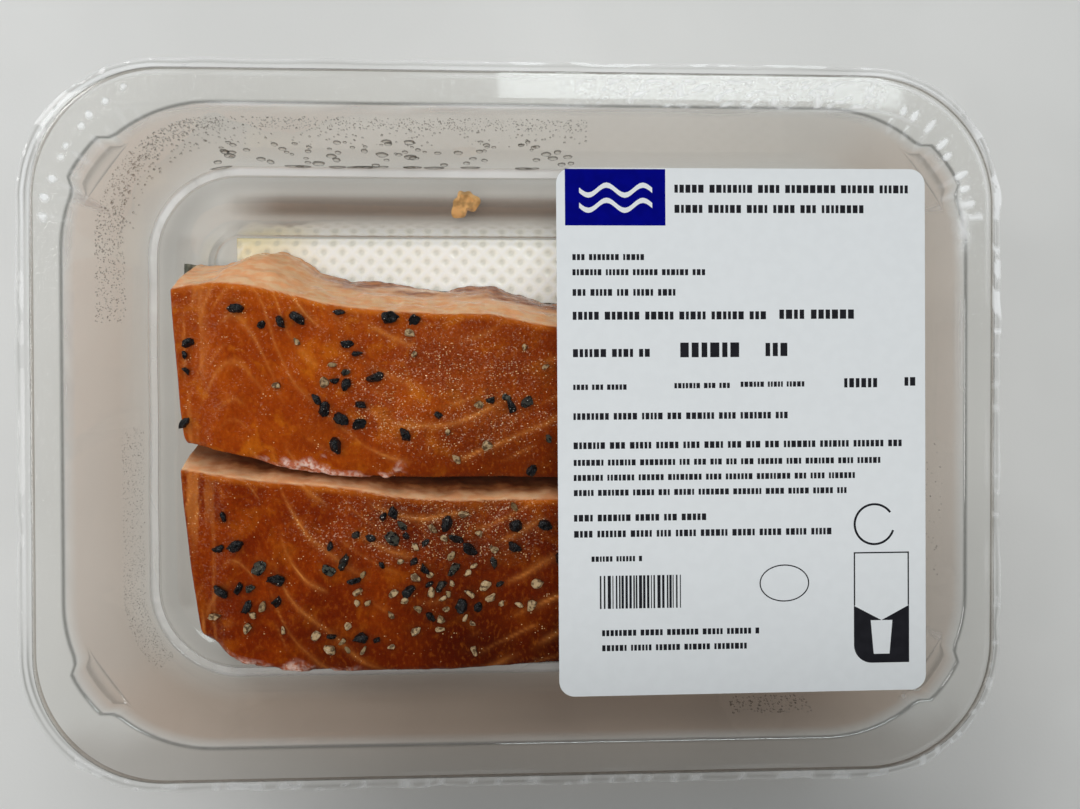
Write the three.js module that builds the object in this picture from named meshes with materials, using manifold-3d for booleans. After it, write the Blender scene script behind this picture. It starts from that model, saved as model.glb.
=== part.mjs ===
// A sealed pack of hot-smoked salmon: a clear deep-drawn tray with a film lid and a blank-style
// label, an absorbent pad, and two peppered portions with their skin.
// Millimetres, +Z up. The origin is on the surface that the tray stands on, under the middle of
// the film. +X runs along the tray's long side and +Y points away from someone reading the label.
import * as THREE from "three";
import { mergeVertices } from "three/addons/utils/BufferGeometryUtils.js";
import Module from "manifold-3d";

const wasm = await Module();
wasm.setup();

// Driving sizes. The ones that meet face to face are whole eighths, so they meet exactly.
const TRAY_LENGTH = 187;
const TRAY_WIDTH = 137;
const TRAY_DEPTH = 36;
const WALL = 0.625;
const RIM_RADIUS = 25;
const LIP_DROP = 2;
const OPENING_LENGTH = 174.3;
const OPENING_WIDTH = 123;
const OPENING_RADIUS = 28;

const LEDGE_HEIGHT = 11.2;
const LEDGE_WIDTH = 1.9;
const LEDGE_INSET = 5.4;
const LEDGE_RADIUS = 20;
const STEP_DROP = 0.6;
const FLOOR_LENGTH = 141.6;
const FLOOR_WIDTH = 86.4;
const FLOOR_RADIUS = 6;
const SHOULDER_STEPS = 4;
const SHOULDER_ANGLE = 62;
const SHOULDER_RUN = 0.79;
const SHOULDER_FALL = 0.52;

const LUG_ANGLE = 36;
const LUG_HALF_ANGLE = 13.5;
const LUG_REACH = 1.9;
const LUG_DEPTH = 3.6;
const LUG_SHELF = 0.5;
const LUG_END_SHARE = 0.35;
const LUG_FADE_DEPTH = 0.55;
const LUG_FADE = 0.6;
const LUG_ALLOWANCE = WALL / 3;

const FILM_LENGTH = 191;
const FILM_WIDTH = 140.5;
const FILM_RADIUS = 27;
const FILM_THICKNESS = 0.25;
const TRAY_SHIFT = 0.75;

const LABEL_WIDTH = 72.4;
const LABEL_HEIGHT = 102.3;
const LABEL_RADIUS = 3;
const LABEL_THICKNESS = 0.125;
const LABEL_CENTER = [42.8, -1.4];
const LABEL_TURN = 0.25;

const PAD_LENGTH = 132;
const PAD_WIDTH = 85.2;
const PAD_THICKNESS = 1.25;
const PAD_RADIUS = 2;
const PAD_BEVEL = 0.8;

const SKIN_THICKNESS = 1;
const SKIN_CURL_START = -66;
const SKIN_CURL = 0.09;
const SKIN_CLEARANCE = 1.3;
const SKIN_OVERHANG = { left: 2.9, right: 0.6, front: 0.4, back: -0.3 };
const SKIN_STEPS = 16;

// Angles of a corner's points, from the long side round to the short side, with the lug's own.
const LUG_EDGE = 1.5;
const CORNER_ANGLES = [
  0,
  7,
  15,
  LUG_ANGLE - LUG_HALF_ANGLE - LUG_EDGE,
  LUG_ANGLE - LUG_HALF_ANGLE,
  LUG_ANGLE - LUG_HALF_ANGLE / 2,
  LUG_ANGLE,
  LUG_ANGLE + LUG_HALF_ANGLE / 2,
  LUG_ANGLE + LUG_HALF_ANGLE,
  LUG_ANGLE + LUG_HALF_ANGLE + LUG_EDGE,
  60,
  70,
  80,
  90,
];
const PLAIN_ANGLES = [0, 15, 30, 45, 60, 75, 90];

const radians = THREE.MathUtils.degToRad;
const lerp = THREE.MathUtils.lerp;
const smooth = THREE.MathUtils.smoothstep;

// One level of a rounded rectangle, anticlockwise from above. lug moves the corner points: 1 is
// the round notch pushed outward, -1 the straight chord that cuts the corner, 0 a plain round.
function roundedRing({ hx, hy, radius, z, lug = 0, angles = CORNER_ANGLES }) {
  const points = [];
  for (let quarter = 0; quarter < 4; quarter++) {
    const signX = quarter === 0 || quarter === 3 ? 1 : -1;
    const signY = quarter < 2 ? 1 : -1;
    const order = quarter % 2 ? [...angles].reverse() : angles;
    for (const angle of order) {
      const reach = radius + lugOffset(angle, radius, lug);
      points.push([
        signX * (hx - radius + reach * Math.cos(radians(angle))),
        signY * (hy - radius + reach * Math.sin(radians(angle))),
        z,
      ]);
    }
  }
  return points;
}

function lugOffset(angle, radius, lug) {
  const turn = Math.abs(angle - LUG_ANGLE);
  if (lug === 0 || turn > LUG_HALF_ANGLE) return 0;
  if (lug > 0) return lug * LUG_REACH * (turn < LUG_HALF_ANGLE ? 1 : LUG_END_SHARE);
  const chord = (radius * Math.cos(radians(LUG_HALF_ANGLE))) / Math.cos(radians(turn));
  return -lug * (chord - radius);
}

// A closed skin through rings of equal length, with a fan over the first and the last ring.
function loft(rings) {
  const count = rings[0].length;
  const positions = rings.flat(2);
  const indices = [];
  for (let k = 0; k + 1 < rings.length; k++) {
    for (let j = 0; j < count; j++) {
      const next = (j + 1) % count;
      const a = k * count + j;
      const b = k * count + next;
      indices.push(a, b, b + count, a, b + count, a + count);
    }
  }
  const capOf = (ring, first, flip) => {
    const middle = [0, 1, 2].map((i) => ring.reduce((sum, p) => sum + p[i], 0) / count);
    const centre = positions.length / 3;
    positions.push(...middle);
    for (let j = 0; j < count; j++) {
      const edge = [first + j, first + ((j + 1) % count)];
      indices.push(centre, ...(flip ? edge.reverse() : edge));
    }
  };
  capOf(rings[0], 0, true);
  capOf(rings[rings.length - 1], (rings.length - 1) * count, false);
  const geometry = new THREE.BufferGeometry();
  geometry.setAttribute("position", new THREE.Float32BufferAttribute(positions, 3));
  geometry.setIndex(indices);
  return geometry;
}

function slab(ringOptions, thickness) {
  const bottom = roundedRing({ ...ringOptions, z: 0 });
  const top = roundedRing({ ...ringOptions, z: thickness });
  return loft([bottom, top]);
}

// The tray's inside, from the rim's inner edge down to the floor.
function innerProfile() {
  const hx = OPENING_LENGTH / 2;
  const hy = OPENING_WIDTH / 2;
  const drop = TRAY_DEPTH - LEDGE_HEIGHT;
  const wallLevel = (depth, lug) => {
    const t = depth / drop;
    return {
      hx: hx - LEDGE_INSET * t,
      hy: hy - LEDGE_INSET * t,
      radius: lerp(OPENING_RADIUS, LEDGE_RADIUS, t),
      z: TRAY_DEPTH - depth,
      lug,
    };
  };
  const levels = [
    wallLevel(0, 1),
    wallLevel(LUG_DEPTH, 1),
    wallLevel(LUG_DEPTH + LUG_SHELF, -1),
    wallLevel(drop * LUG_FADE_DEPTH, -LUG_FADE),
    wallLevel(drop, 0),
  ];
  const ledge = levels[levels.length - 1];
  const ledgeInner = {
    ...ledge,
    hx: ledge.hx - LEDGE_WIDTH,
    hy: ledge.hy - LEDGE_WIDTH,
    radius: ledge.radius - LEDGE_WIDTH,
  };
  levels.push(ledgeInner);

  // The convex shoulder turns from level to its steepest, then runs straight to the floor.
  const step = { ...ledgeInner, z: ledgeInner.z - STEP_DROP };
  const floor = {
    hx: FLOOR_LENGTH / 2,
    hy: FLOOR_WIDTH / 2,
    radius: FLOOR_RADIUS,
    z: WALL,
  };
  const steep = radians(SHOULDER_ANGLE);
  const shoulderFall = SHOULDER_FALL * (step.z - floor.z);
  for (let i = 0; i <= SHOULDER_STEPS; i++) {
    const turn = (steep * i) / SHOULDER_STEPS;
    const run = (SHOULDER_RUN * Math.sin(turn)) / Math.sin(steep);
    const fall = (shoulderFall * (1 - Math.cos(turn))) / (1 - Math.cos(steep));
    levels.push({
      hx: lerp(step.hx, floor.hx, run),
      hy: lerp(step.hy, floor.hy, run),
      radius: lerp(step.radius, floor.radius, run),
      z: step.z - fall,
      lug: 0,
    });
  }
  levels.push({ ...floor, lug: 0 });
  return levels;
}

// The same levels pushed out by the wall's thickness, square to the profile, and a little lower
// at the lugs so that their sloping shelf keeps its thickness.
function outerProfile(inner) {
  return inner.map((level, i) => {
    const before = inner[Math.max(i - 1, 0)];
    const after = inner[Math.min(i + 1, inner.length - 1)];
    const run = before.hy - after.hy;
    const fall = before.z - after.z;
    const length = Math.hypot(run, fall);
    const out = i === inner.length - 1 ? WALL / 2 : (WALL * fall) / length;
    const down = i === inner.length - 1 ? WALL : (WALL * run) / length;
    const shelf = level.lug !== 0 && i > 0 ? LUG_ALLOWANCE : 0;
    return {
      ...level,
      hx: level.hx + out,
      hy: level.hy + out,
      radius: level.radius + out,
      z: i === 0 ? TRAY_DEPTH - WALL : level.z - down - shelf,
    };
  });
}

function trayGeometry() {
  const inner = innerProfile();
  const outer = outerProfile(inner);
  const rimLevel = (inset, depth) => ({
    hx: TRAY_LENGTH / 2 - inset,
    hy: TRAY_WIDTH / 2 - inset,
    radius: RIM_RADIUS - inset,
    z: TRAY_DEPTH - depth,
  });
  const rim = [
    rimLevel(WALL, WALL),
    rimLevel(WALL, LIP_DROP),
    rimLevel(0, LIP_DROP),
    rimLevel(0, WALL / 2),
    rimLevel(WALL / 2, 0),
  ];
  const levels = [...outer.reverse(), ...rim, ...inner];
  return loft(levels.map(roundedRing));
}

// A smooth line through a few [x, y] points, read by x.
function lineThrough(points) {
  return (x) => {
    const last = points.length - 1;
    let i = points.findIndex((p) => p[0] > x) - 1;
    if (x <= points[0][0]) i = 0;
    if (x >= points[last][0]) i = last - 1;
    const [x0, y0] = points[i];
    const [x1, y1] = points[i + 1];
    const slopeAt = (k) => {
      const a = points[Math.max(k - 1, 0)];
      const b = points[Math.min(k + 1, last)];
      return (b[1] - a[1]) / (b[0] - a[0]);
    };
    const span = x1 - x0;
    const t = THREE.MathUtils.clamp((x - x0) / span, 0, 1);
    const t2 = t * t;
    const t3 = t2 * t;
    return (
      (2 * t3 - 3 * t2 + 1) * y0 +
      (t3 - 2 * t2 + t) * span * slopeAt(i) +
      (3 * t2 - 2 * t3) * y1 +
      (t3 - t2) * span * slopeAt(i + 1)
    );
  };
}

// The two portions: where the upper edges of their back and front cuts run, how thick they are,
// and how far the cuts slant, which shows the back cut from above and hides the front one.
const PAD_TOP = WALL + PAD_THICKNESS;
const PORTIONS = {
  back: {
    left: -72,
    right: 52,
    backEdge: lineThrough([
      [-72, 28],
      [-64.5, 29],
      [-35, 24],
      [-19, 22.9],
      [-7, 22.7],
      [4, 20.5],
      [52, 16],
    ]),
    frontEdge: lineThrough([[-72, -3.8], [-58.7, -6.3], [-47.6, -8.8], [7, -11.3], [52, -13]]),
    top: 25.2,
    slant: 7.6,
    raggedFrom: -65,
    raggedTo: -46,
    raggedReach: 2.6,
    leftSkew: 2.8,
    seed: 11,
  },
  front: {
    left: -70,
    right: 48,
    backEdge: lineThrough([
      [-70, -9.2],
      [-53.4, -11.5],
      [-38, -12.9],
      [-25, -15],
      [7, -15.6],
      [48, -17],
    ]),
    frontEdge: lineThrough([[-70, -43.6], [-58, -48.4], [-31.4, -50.8], [7, -49.6], [48, -46]]),
    top: 26,
    slant: 8,
    raggedFrom: 0,
    raggedTo: 0,
    raggedReach: 0,
    leftSkew: 4.2,
    seed: 23,
  },
};
const STATION_STEP = 4;
const TOP_POINTS = 7;
const BACK_EDGE_FLAT = 0.5;
const FRONT_EDGE_ROUND = 1.1;
const FRONT_EDGE_DROP = 1;
const LEFT_FADE = 12;
const CROWN = 0.7;
const LEFT_FALL = 1.6;
const RIGHT_FALL = 2.2;
const RELIEF = 0.3;
const END_CAPS = { width: 0.94, height: 0.9, left: -0.1, right: 1.2 };

// Low bumps in the meat, a sum of waves that never repeats along one portion.
function relief(portion, x, y) {
  const p = portion.seed;
  return (
    RELIEF *
    (0.5 * Math.sin(0.31 * x + 0.22 * y + p) +
      0.3 * Math.sin(0.63 * x - 0.41 * y + 2 * p) +
      0.2 * Math.sin(1.1 * x + 0.9 * y + 3 * p))
  );
}

// Height of the upper face: a flat crown that falls a little to both cuts and to the left end.
function topHeight(portion, x, y) {
  const back = portion.backEdge(x);
  const front = portion.frontEdge(x);
  const across = (2 * y - back - front) / (back - front);
  const crown = CROWN * across ** 4;
  const leftFall = LEFT_FALL * (1 - smooth(x, portion.left, portion.left + LEFT_FADE));
  const rightFall = RIGHT_FALL * smooth(x, portion.right - LEFT_FADE, portion.right);
  return portion.top - crown - leftFall - rightFall + relief(portion, x, y);
}

function skinLift(x) {
  return SKIN_CURL * Math.max(SKIN_CURL_START - x, 0) ** 2;
}

// One slice of a portion, anticlockwise seen from +X, as [x, y, z] points. The cuts' own points
// are shares of the way down the cut, with how far they have slanted out by there.
function fleshSlice(portion, x) {
  const back = portion.backEdge(x);
  const front = portion.frontEdge(x);
  const slant = portion.slant;
  const under = PAD_TOP + SKIN_THICKNESS + SKIN_CLEARANCE * skinLift(x);
  const middle = (portion.raggedFrom + portion.raggedTo) / 2;
  const half = (portion.raggedTo - portion.raggedFrom) / 2;
  const ragged = half > 0 ? Math.max(0, 1 - ((x - middle) / half) ** 2) * portion.raggedReach : 0;
  const wave = relief(portion, 2.1 * x, 40);
  const topBack = topHeight(portion, x, back);
  const topFront = topHeight(portion, x, front) - FRONT_EDGE_DROP;
  const slice = [
    [front + slant, under],
    [back + slant + ragged, under],
    [back + 0.74 * slant + ragged + wave, lerp(under, topBack, 0.35)],
    [back + 0.34 * slant + 0.5 * ragged - wave, lerp(under, topBack, 0.72)],
    [back + 0.25, topBack - 0.7],
    [back, topBack - 0.15],
  ];
  for (let i = 0; i < TOP_POINTS; i++) {
    const y = lerp(back - BACK_EDGE_FLAT, front + FRONT_EDGE_ROUND, i / (TOP_POINTS - 1));
    slice.push([y, topHeight(portion, x, y)]);
  }
  slice.push(
    [front, topFront],
    [front + 0.28 * slant + wave, lerp(topFront, under, 0.3)],
    [front + 0.7 * slant, lerp(topFront, under, 0.7)],
  );
  const skew = portion.leftSkew * (1 - smooth(x, portion.left, portion.left + LEFT_FADE));
  return slice.map(([y, z]) => {
    const towardFront = THREE.MathUtils.clamp((back - y) / (back - front), 0, 1);
    return [x + skew * towardFront, y, z];
  });
}

function fleshGeometry(portion) {
  const length = portion.right - portion.left;
  const stations = Math.round(length / STATION_STEP);
  const rings = [];
  for (let i = 0; i <= stations; i++) {
    rings.push(fleshSlice(portion, portion.left + (length * i) / stations));
  }
  // Each end face is a smaller copy of its slice just outside it, which rounds the ends off.
  const rounded = (ring, outward) => {
    const low = Math.min(...ring.map((p) => p[2]));
    const high = Math.max(...ring.map((p) => p[2]));
    const midY = ring.reduce((sum, p) => sum + p[1], 0) / ring.length;
    return ring.map(([x, y, z]) => [
      x + outward,
      lerp(midY, y, END_CAPS.width),
      lerp((low + high) / 2, z, END_CAPS.height),
    ]);
  };
  const start = rounded(rings[0], END_CAPS.left);
  const end = rounded(rings[rings.length - 1], END_CAPS.right);
  return loft([start, ...rings, end]);
}

// Crushed peppercorns: a loose scatter over the upper face and one or more denser patches.
const PEPPER = {
  back: { loose: 18, patches: [{ x: -37, y: 5, spread: [5, 7], count: 12 }] },
  front: {
    loose: 16,
    patches: [
      { x: -19, y: -28, spread: [13, 9], count: 42 },
      { x: -59, y: -36, spread: [5, 5], count: 8 },
    ],
  },
};
const PEPPER_RADIUS = [0.85, 1.5];
const PEPPER_SPACING = 2.7;
const PEPPER_MARGIN = 4;
const PEPPER_TRIES = 40;
const CHIP_SHAPE = [1, 0.8, 0.62];
const CHIP_TILT = 0.5;
const CHIP_LIFT = 0.15;

function seededRandom(seed) {
  let state = seed;
  return () => {
    state = (state * 1664525 + 1013904223) % 4294967296;
    return state / 4294967296;
  };
}

function pepperSpots(portion, plan, random) {
  const spots = [];
  const place = (count, draw) => {
    let tries = 0;
    for (let made = 0; made < count && tries < PEPPER_TRIES * count; tries++) {
      const [x, y] = draw();
      const inside =
        x > portion.left + PEPPER_MARGIN + portion.leftSkew &&
        x < portion.right - PEPPER_MARGIN &&
        y < portion.backEdge(x) - PEPPER_MARGIN &&
        y > portion.frontEdge(x) + PEPPER_MARGIN;
      const clear = spots.every((s) => Math.hypot(s[0] - x, s[1] - y) > PEPPER_SPACING);
      if (!inside || !clear) continue;
      spots.push([x, y]);
      made++;
    }
  };
  const bell = () => random() + random() + random() - 1.5;
  for (const patch of plan.patches) {
    place(patch.count, () => [
      patch.x + bell() * 2 * patch.spread[0],
      patch.y + bell() * 2 * patch.spread[1],
    ]);
  }
  place(plan.loose, () => [
    lerp(portion.left, portion.right, random()),
    lerp(portion.frontEdge(0), portion.backEdge(0), random()),
  ]);
  return spots;
}

function pepperSolids(portion, plan) {
  const random = seededRandom(portion.seed);
  return pepperSpots(portion, plan, random).map(([x, y]) => {
    const chip = new THREE.IcosahedronGeometry(lerp(...PEPPER_RADIUS, random()), 0);
    chip.scale(...CHIP_SHAPE);
    chip.rotateX(CHIP_TILT * (random() - 0.5));
    chip.rotateZ(Math.PI * random());
    chip.translate(x, y, topHeight(portion, x, y) + CHIP_LIFT);
    return solidOf(chip);
  });
}

function solidOf(geometry) {
  const bare = geometry.clone();
  bare.deleteAttribute("normal");
  bare.deleteAttribute("uv");
  const merged = mergeVertices(bare);
  return new wasm.Manifold(
    new wasm.Mesh({
      numProp: 3,
      vertProperties: new Float32Array(merged.attributes.position.array),
      triVerts: new Uint32Array(merged.index.array),
    }),
  );
}

function geometryOf(solid) {
  const mesh = solid.getMesh();
  const geometry = new THREE.BufferGeometry();
  geometry.setAttribute("position", new THREE.Float32BufferAttribute(mesh.vertProperties, 3));
  geometry.setIndex([...mesh.triVerts]);
  return geometry;
}

function salmonGeometry(portion, pepperPlan) {
  const flesh = solidOf(fleshGeometry(portion));
  const joined = pepperSolids(portion, pepperPlan).reduce((sum, chip) => sum.add(chip), flesh);
  return geometryOf(joined);
}

// The skin under a portion, which curls up the tray's wall past the left end of the meat.
function skinGeometry(portion) {
  const from = portion.left - SKIN_OVERHANG.left;
  const to = portion.right + SKIN_OVERHANG.right;
  const rings = [];
  for (let i = 0; i <= SKIN_STEPS; i++) {
    const t = i / SKIN_STEPS;
    const x = t < 0.5 ? lerp(from, SKIN_CURL_START, 2 * t) : lerp(SKIN_CURL_START, to, 2 * t - 1);
    const slope = -2 * SKIN_CURL * Math.max(SKIN_CURL_START - x, 0);
    const lean = Math.hypot(1, slope);
    const z = PAD_TOP + skinLift(x);
    const front = portion.frontEdge(x) + portion.slant - SKIN_OVERHANG.front;
    const back = portion.backEdge(x) + portion.slant + SKIN_OVERHANG.back;
    const topX = x - (SKIN_THICKNESS * slope) / lean;
    const topZ = z + SKIN_THICKNESS / lean;
    rings.push([
      [x, front, z],
      [x, back, z],
      [topX, back, topZ],
      [topX, front, topZ],
    ]);
  }
  return loft(rings);
}

function padGeometry() {
  const level = (inset, z) => roundedRing({
    hx: PAD_LENGTH / 2 - inset,
    hy: PAD_WIDTH / 2 - inset,
    radius: PAD_RADIUS,
    z,
    angles: [0, 45, 90],
  });
  return loft([level(0, 0), level(0, PAD_THICKNESS / 2), level(PAD_BEVEL, PAD_THICKNESS)]);
}

// Materials.
const clearPlastic = new THREE.MeshStandardMaterial({
  color: 0xdfe3de,
  roughness: 0.08,
  metalness: 0,
  transparent: true,
  opacity: 0.25,
});
const clearFilm = new THREE.MeshStandardMaterial({
  color: 0xe8ecea,
  roughness: 0.06,
  metalness: 0,
  transparent: true,
  opacity: 0.15,
});
const whitePaper = new THREE.MeshStandardMaterial({ color: 0xced3d6, roughness: 0.55 });
const padCover = new THREE.MeshStandardMaterial({ color: 0xdbd6c7, roughness: 0.6 });
const smokedMeat = new THREE.MeshStandardMaterial({ color: 0x99451a, roughness: 0.3 });
const fishSkin = new THREE.MeshStandardMaterial({ color: 0x5d5c4e, roughness: 0.45 });

function named(name, geometry, material, z = 0) {
  const mesh = new THREE.Mesh(geometry, material);
  mesh.name = name;
  mesh.position.z = z;
  return mesh;
}

function label() {
  const outline = {
    hx: LABEL_WIDTH / 2,
    hy: LABEL_HEIGHT / 2,
    radius: LABEL_RADIUS,
    angles: [0, 30, 60, 90],
  };
  const mesh = named("label", slab(outline, LABEL_THICKNESS), whitePaper);
  mesh.position.set(...LABEL_CENTER, TRAY_DEPTH + FILM_THICKNESS);
  mesh.rotation.z = radians(LABEL_TURN);
  return mesh;
}

function film() {
  const outline = {
    hx: FILM_LENGTH / 2,
    hy: FILM_WIDTH / 2,
    radius: FILM_RADIUS,
    angles: PLAIN_ANGLES,
  };
  return named("film", slab(outline, FILM_THICKNESS), clearFilm, TRAY_DEPTH);
}

const tray = new THREE.Group();
tray.position.x = TRAY_SHIFT;
tray.add(
  named("tray", trayGeometry(), clearPlastic),
  named("pad", padGeometry(), padCover, WALL),
  label(),
);
for (const [side, portion] of Object.entries(PORTIONS)) {
  tray.add(
    named("salmon_" + side, salmonGeometry(portion, PEPPER[side]), smokedMeat),
    named("skin_" + side, skinGeometry(portion), fishSkin),
  );
}

const group = new THREE.Group();
group.add(tray, film());

export default group;
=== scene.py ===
import math

import bmesh
import bpy
import numpy as np
from mathutils import Matrix, Vector


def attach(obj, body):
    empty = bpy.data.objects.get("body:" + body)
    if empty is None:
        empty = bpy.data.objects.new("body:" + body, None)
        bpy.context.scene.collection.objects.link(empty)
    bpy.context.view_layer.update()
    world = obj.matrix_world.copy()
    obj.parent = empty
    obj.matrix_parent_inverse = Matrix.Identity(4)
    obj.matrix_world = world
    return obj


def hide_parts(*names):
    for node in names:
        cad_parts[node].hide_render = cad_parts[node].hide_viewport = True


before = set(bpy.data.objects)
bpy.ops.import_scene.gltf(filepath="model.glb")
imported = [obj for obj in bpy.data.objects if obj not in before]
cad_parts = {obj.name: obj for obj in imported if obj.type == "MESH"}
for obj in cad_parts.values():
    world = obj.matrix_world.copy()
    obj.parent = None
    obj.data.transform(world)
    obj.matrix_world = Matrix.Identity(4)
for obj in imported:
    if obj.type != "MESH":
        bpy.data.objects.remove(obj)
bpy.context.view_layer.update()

# Everything below is modelled in millimetres and turned into metres when a mesh is made.
MM = 0.001
TRAY_X = 0.75

# Sizes of the tray, as in the part's source.
TRAY_LENGTH, TRAY_WIDTH, TRAY_DEPTH = 187.0, 137.0, 36.0
RIM_RADIUS = 25.0
LIP_HEIGHT, LIP_DRAFT = 2.0, 0.1
FLANGE_STEP = 1.6
OPENING_LENGTH, OPENING_WIDTH, OPENING_RADIUS = 174.3, 123.0, 28.0
LEDGE_HEIGHT, LEDGE_WIDTH, LEDGE_INSET, LEDGE_RADIUS = 11.2, 1.9, 5.4, 20.0
STEP_TOP = LEDGE_HEIGHT - 0.6
FLOOR_LENGTH, FLOOR_WIDTH, FLOOR_RADIUS = 141.6, 86.4, 6.0
FLOOR_TOP = 0.625
SHOULDER_ANGLE, SHOULDER_RUN, SHOULDER_FALL, SHOULDER_STEPS = 62.0, 0.79, 0.52, 14
LUG_ANGLE, LUG_HALF_ANGLE, LUG_REACH = 36.0, 13.5, 1.9
LUG_DEPTH, LUG_SHELF = 3.6, 0.4

FILM_LENGTH, FILM_WIDTH, FILM_RADIUS = 191.0, 140.5, 27.0
LABEL_WIDTH, LABEL_HEIGHT, LABEL_RADIUS = 72.4, 102.3, 3.0
LABEL_CENTER = (42.8 + TRAY_X, -1.4)
LABEL_TURN = math.radians(0.25)
LABEL_BOTTOM, LABEL_TOP = TRAY_DEPTH + 0.17, 36.33

PAD_LENGTH, PAD_WIDTH = 132.0, 85.2
PAD_TOP = 1.875
DIMPLE_PITCH, DIMPLE_ROW = 4.36, 2.13

# The photograph's camera: a phone held over the pack, tilted a little.
CAMERA_PLACE = (-2.9 + TRAY_X, 5.4, 192.7)
CAMERA_TURN = (0.52, 2.23, 0.16)
SENSOR_WIDTH = 36.0
FOCAL_PIXELS = 811.0
PHOTO_WIDTH = 1080.0

# Seeds of the random draws.
FOLD_SEED, CHIP_SEED, PRINT_SEED, DROP_SEED = 44, 12, 9, 31


# Noise and curves

def lattice_value(ix, iy, iz, seed):
    """A repeatable number from 0 to 1 for each whole lattice point."""
    n = (ix * 374761393 + iy * 668265263 + iz * 2147483647 + seed * 1274126177) & 0xFFFFFFFF
    n = ((n ^ (n >> 13)) * 1103515245 + 12345) & 0xFFFFFFFF
    n = ((n ^ (n >> 16)) * 2246822519) & 0xFFFFFFFF
    return ((n ^ (n >> 15)) & 0xFFFF) / 65535.0


NOISE_ORIGIN = 1000.0


def noise(points, scale, seed=0):
    """Smooth value noise from -1 to 1 at (N, 3) points, whose bumps are about scale across."""
    p = np.asarray(points, float) / scale + NOISE_ORIGIN
    cell = np.floor(p).astype(np.int64)
    f = p - cell
    f = f * f * (3 - 2 * f)
    total = 0.0
    for corner in np.ndindex(2, 2, 2):
        weight = np.prod(np.where(corner, f, 1 - f), axis=1)
        total = total + weight * lattice_value(*(cell + corner).T, seed)
    return 2 * total - 1


def fractal(points, scale, seed=0, octaves=3):
    return sum(noise(points, scale / 2 ** k, seed + 17 * k) / 2 ** k for k in range(octaves))


def smoothstep(x, low, high):
    t = np.clip((np.asarray(x, float) - low) / (high - low), 0, 1)
    return t * t * (3 - 2 * t)


def band(x, low, full, fading, gone):
    """Rises from 0 at low to 1 at full, and falls from 1 at fading to 0 at gone."""
    return smoothstep(x, low, full) * (1 - smoothstep(x, fading, gone))


def bell(x, width, middle=0.0, power=2):
    return np.exp(-((x - middle) / width) ** power)


def lerp(a, b, t):
    return a + (b - a) * t


def hermite(p0, p1, m0, m1, t):
    """A cubic from p0 to p1 with slopes m0 and m1 at its ends."""
    t2, t3 = t * t, t * t * t
    return (2 * t3 - 3 * t2 + 1) * p0 + (t3 - 2 * t2 + t) * m0 + (3 * t2 - 2 * t3) * p1 + (t3 - t2) * m1


def line_through(points):
    """A smooth line through a few (x, y) points, read by x."""
    xs, ys = np.array(points, float).T
    slopes = np.gradient(ys, xs)

    def read(x):
        x = np.clip(np.asarray(x, float), xs[0], xs[-1])
        i = np.clip(np.searchsorted(xs, x, side="right") - 1, 0, len(xs) - 2)
        span = xs[i + 1] - xs[i]
        return hermite(ys[i], ys[i + 1], span * slopes[i], span * slopes[i + 1], (x - xs[i]) / span)

    return read


# Meshes

def add_mesh(name, points, faces, material):
    """A mesh object from millimetre points."""
    mesh = bpy.data.meshes.new(name)
    points = np.asarray(points, float) * MM
    mesh.from_pydata(points.tolist(), [], [list(map(int, f)) for f in faces])
    mesh.update()
    mesh.materials.append(material)
    return add_object(name, mesh)


def add_object(name, data):
    obj = bpy.data.objects.new(name, data)
    bpy.context.scene.collection.objects.link(obj)
    return obj


def make_piece(name, points, faces, material, stands_for=(), smooth=True, masks=None):
    """A mesh that rides on the pack, with its masks as attributes of its points."""
    obj = add_mesh(name, points, faces, material)
    if smooth:
        obj.data.shade_smooth()
    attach(obj, "root")
    if stands_for:
        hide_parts(*stands_for)
    for mask, values in (masks or {}).items():
        attribute = obj.data.attributes.new(mask, "FLOAT", "POINT")
        attribute.data.foreach_set("value", np.asarray(values, np.float32).ravel())


def ring_faces(rings, count, first_cap=True, last_cap=True):
    """Quads between rings of equal length, and a fan of triangles over each capped end.
    The fans' middles are the points straight after the rings."""
    j = np.arange(count)
    nxt = (j + 1) % count
    faces = []
    for k in range(rings - 1):
        a, b = k * count + j, k * count + nxt
        faces.extend(np.stack([a, b, b + count, a + count], 1).tolist())
    middle = rings * count
    if first_cap:
        faces.extend(np.stack([np.full(count, middle), nxt, j], 1).tolist())
        middle += 1
    if last_cap:
        last = (rings - 1) * count
        faces.extend(np.stack([np.full(count, middle), last + j, last + nxt], 1).tolist())
    return faces


def with_middles(rings):
    """The rings' points, followed by the middle of the first ring and of the last."""
    return np.vstack([rings.reshape(-1, 3), rings[0].mean(0), rings[-1].mean(0)])


def grid_faces(rows, columns):
    a = (np.arange(rows - 1)[:, None] * columns + np.arange(columns - 1)[None, :]).ravel()
    return np.stack([a, a + 1, a + columns + 1, a + columns], 1).tolist()


# Materials

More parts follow.
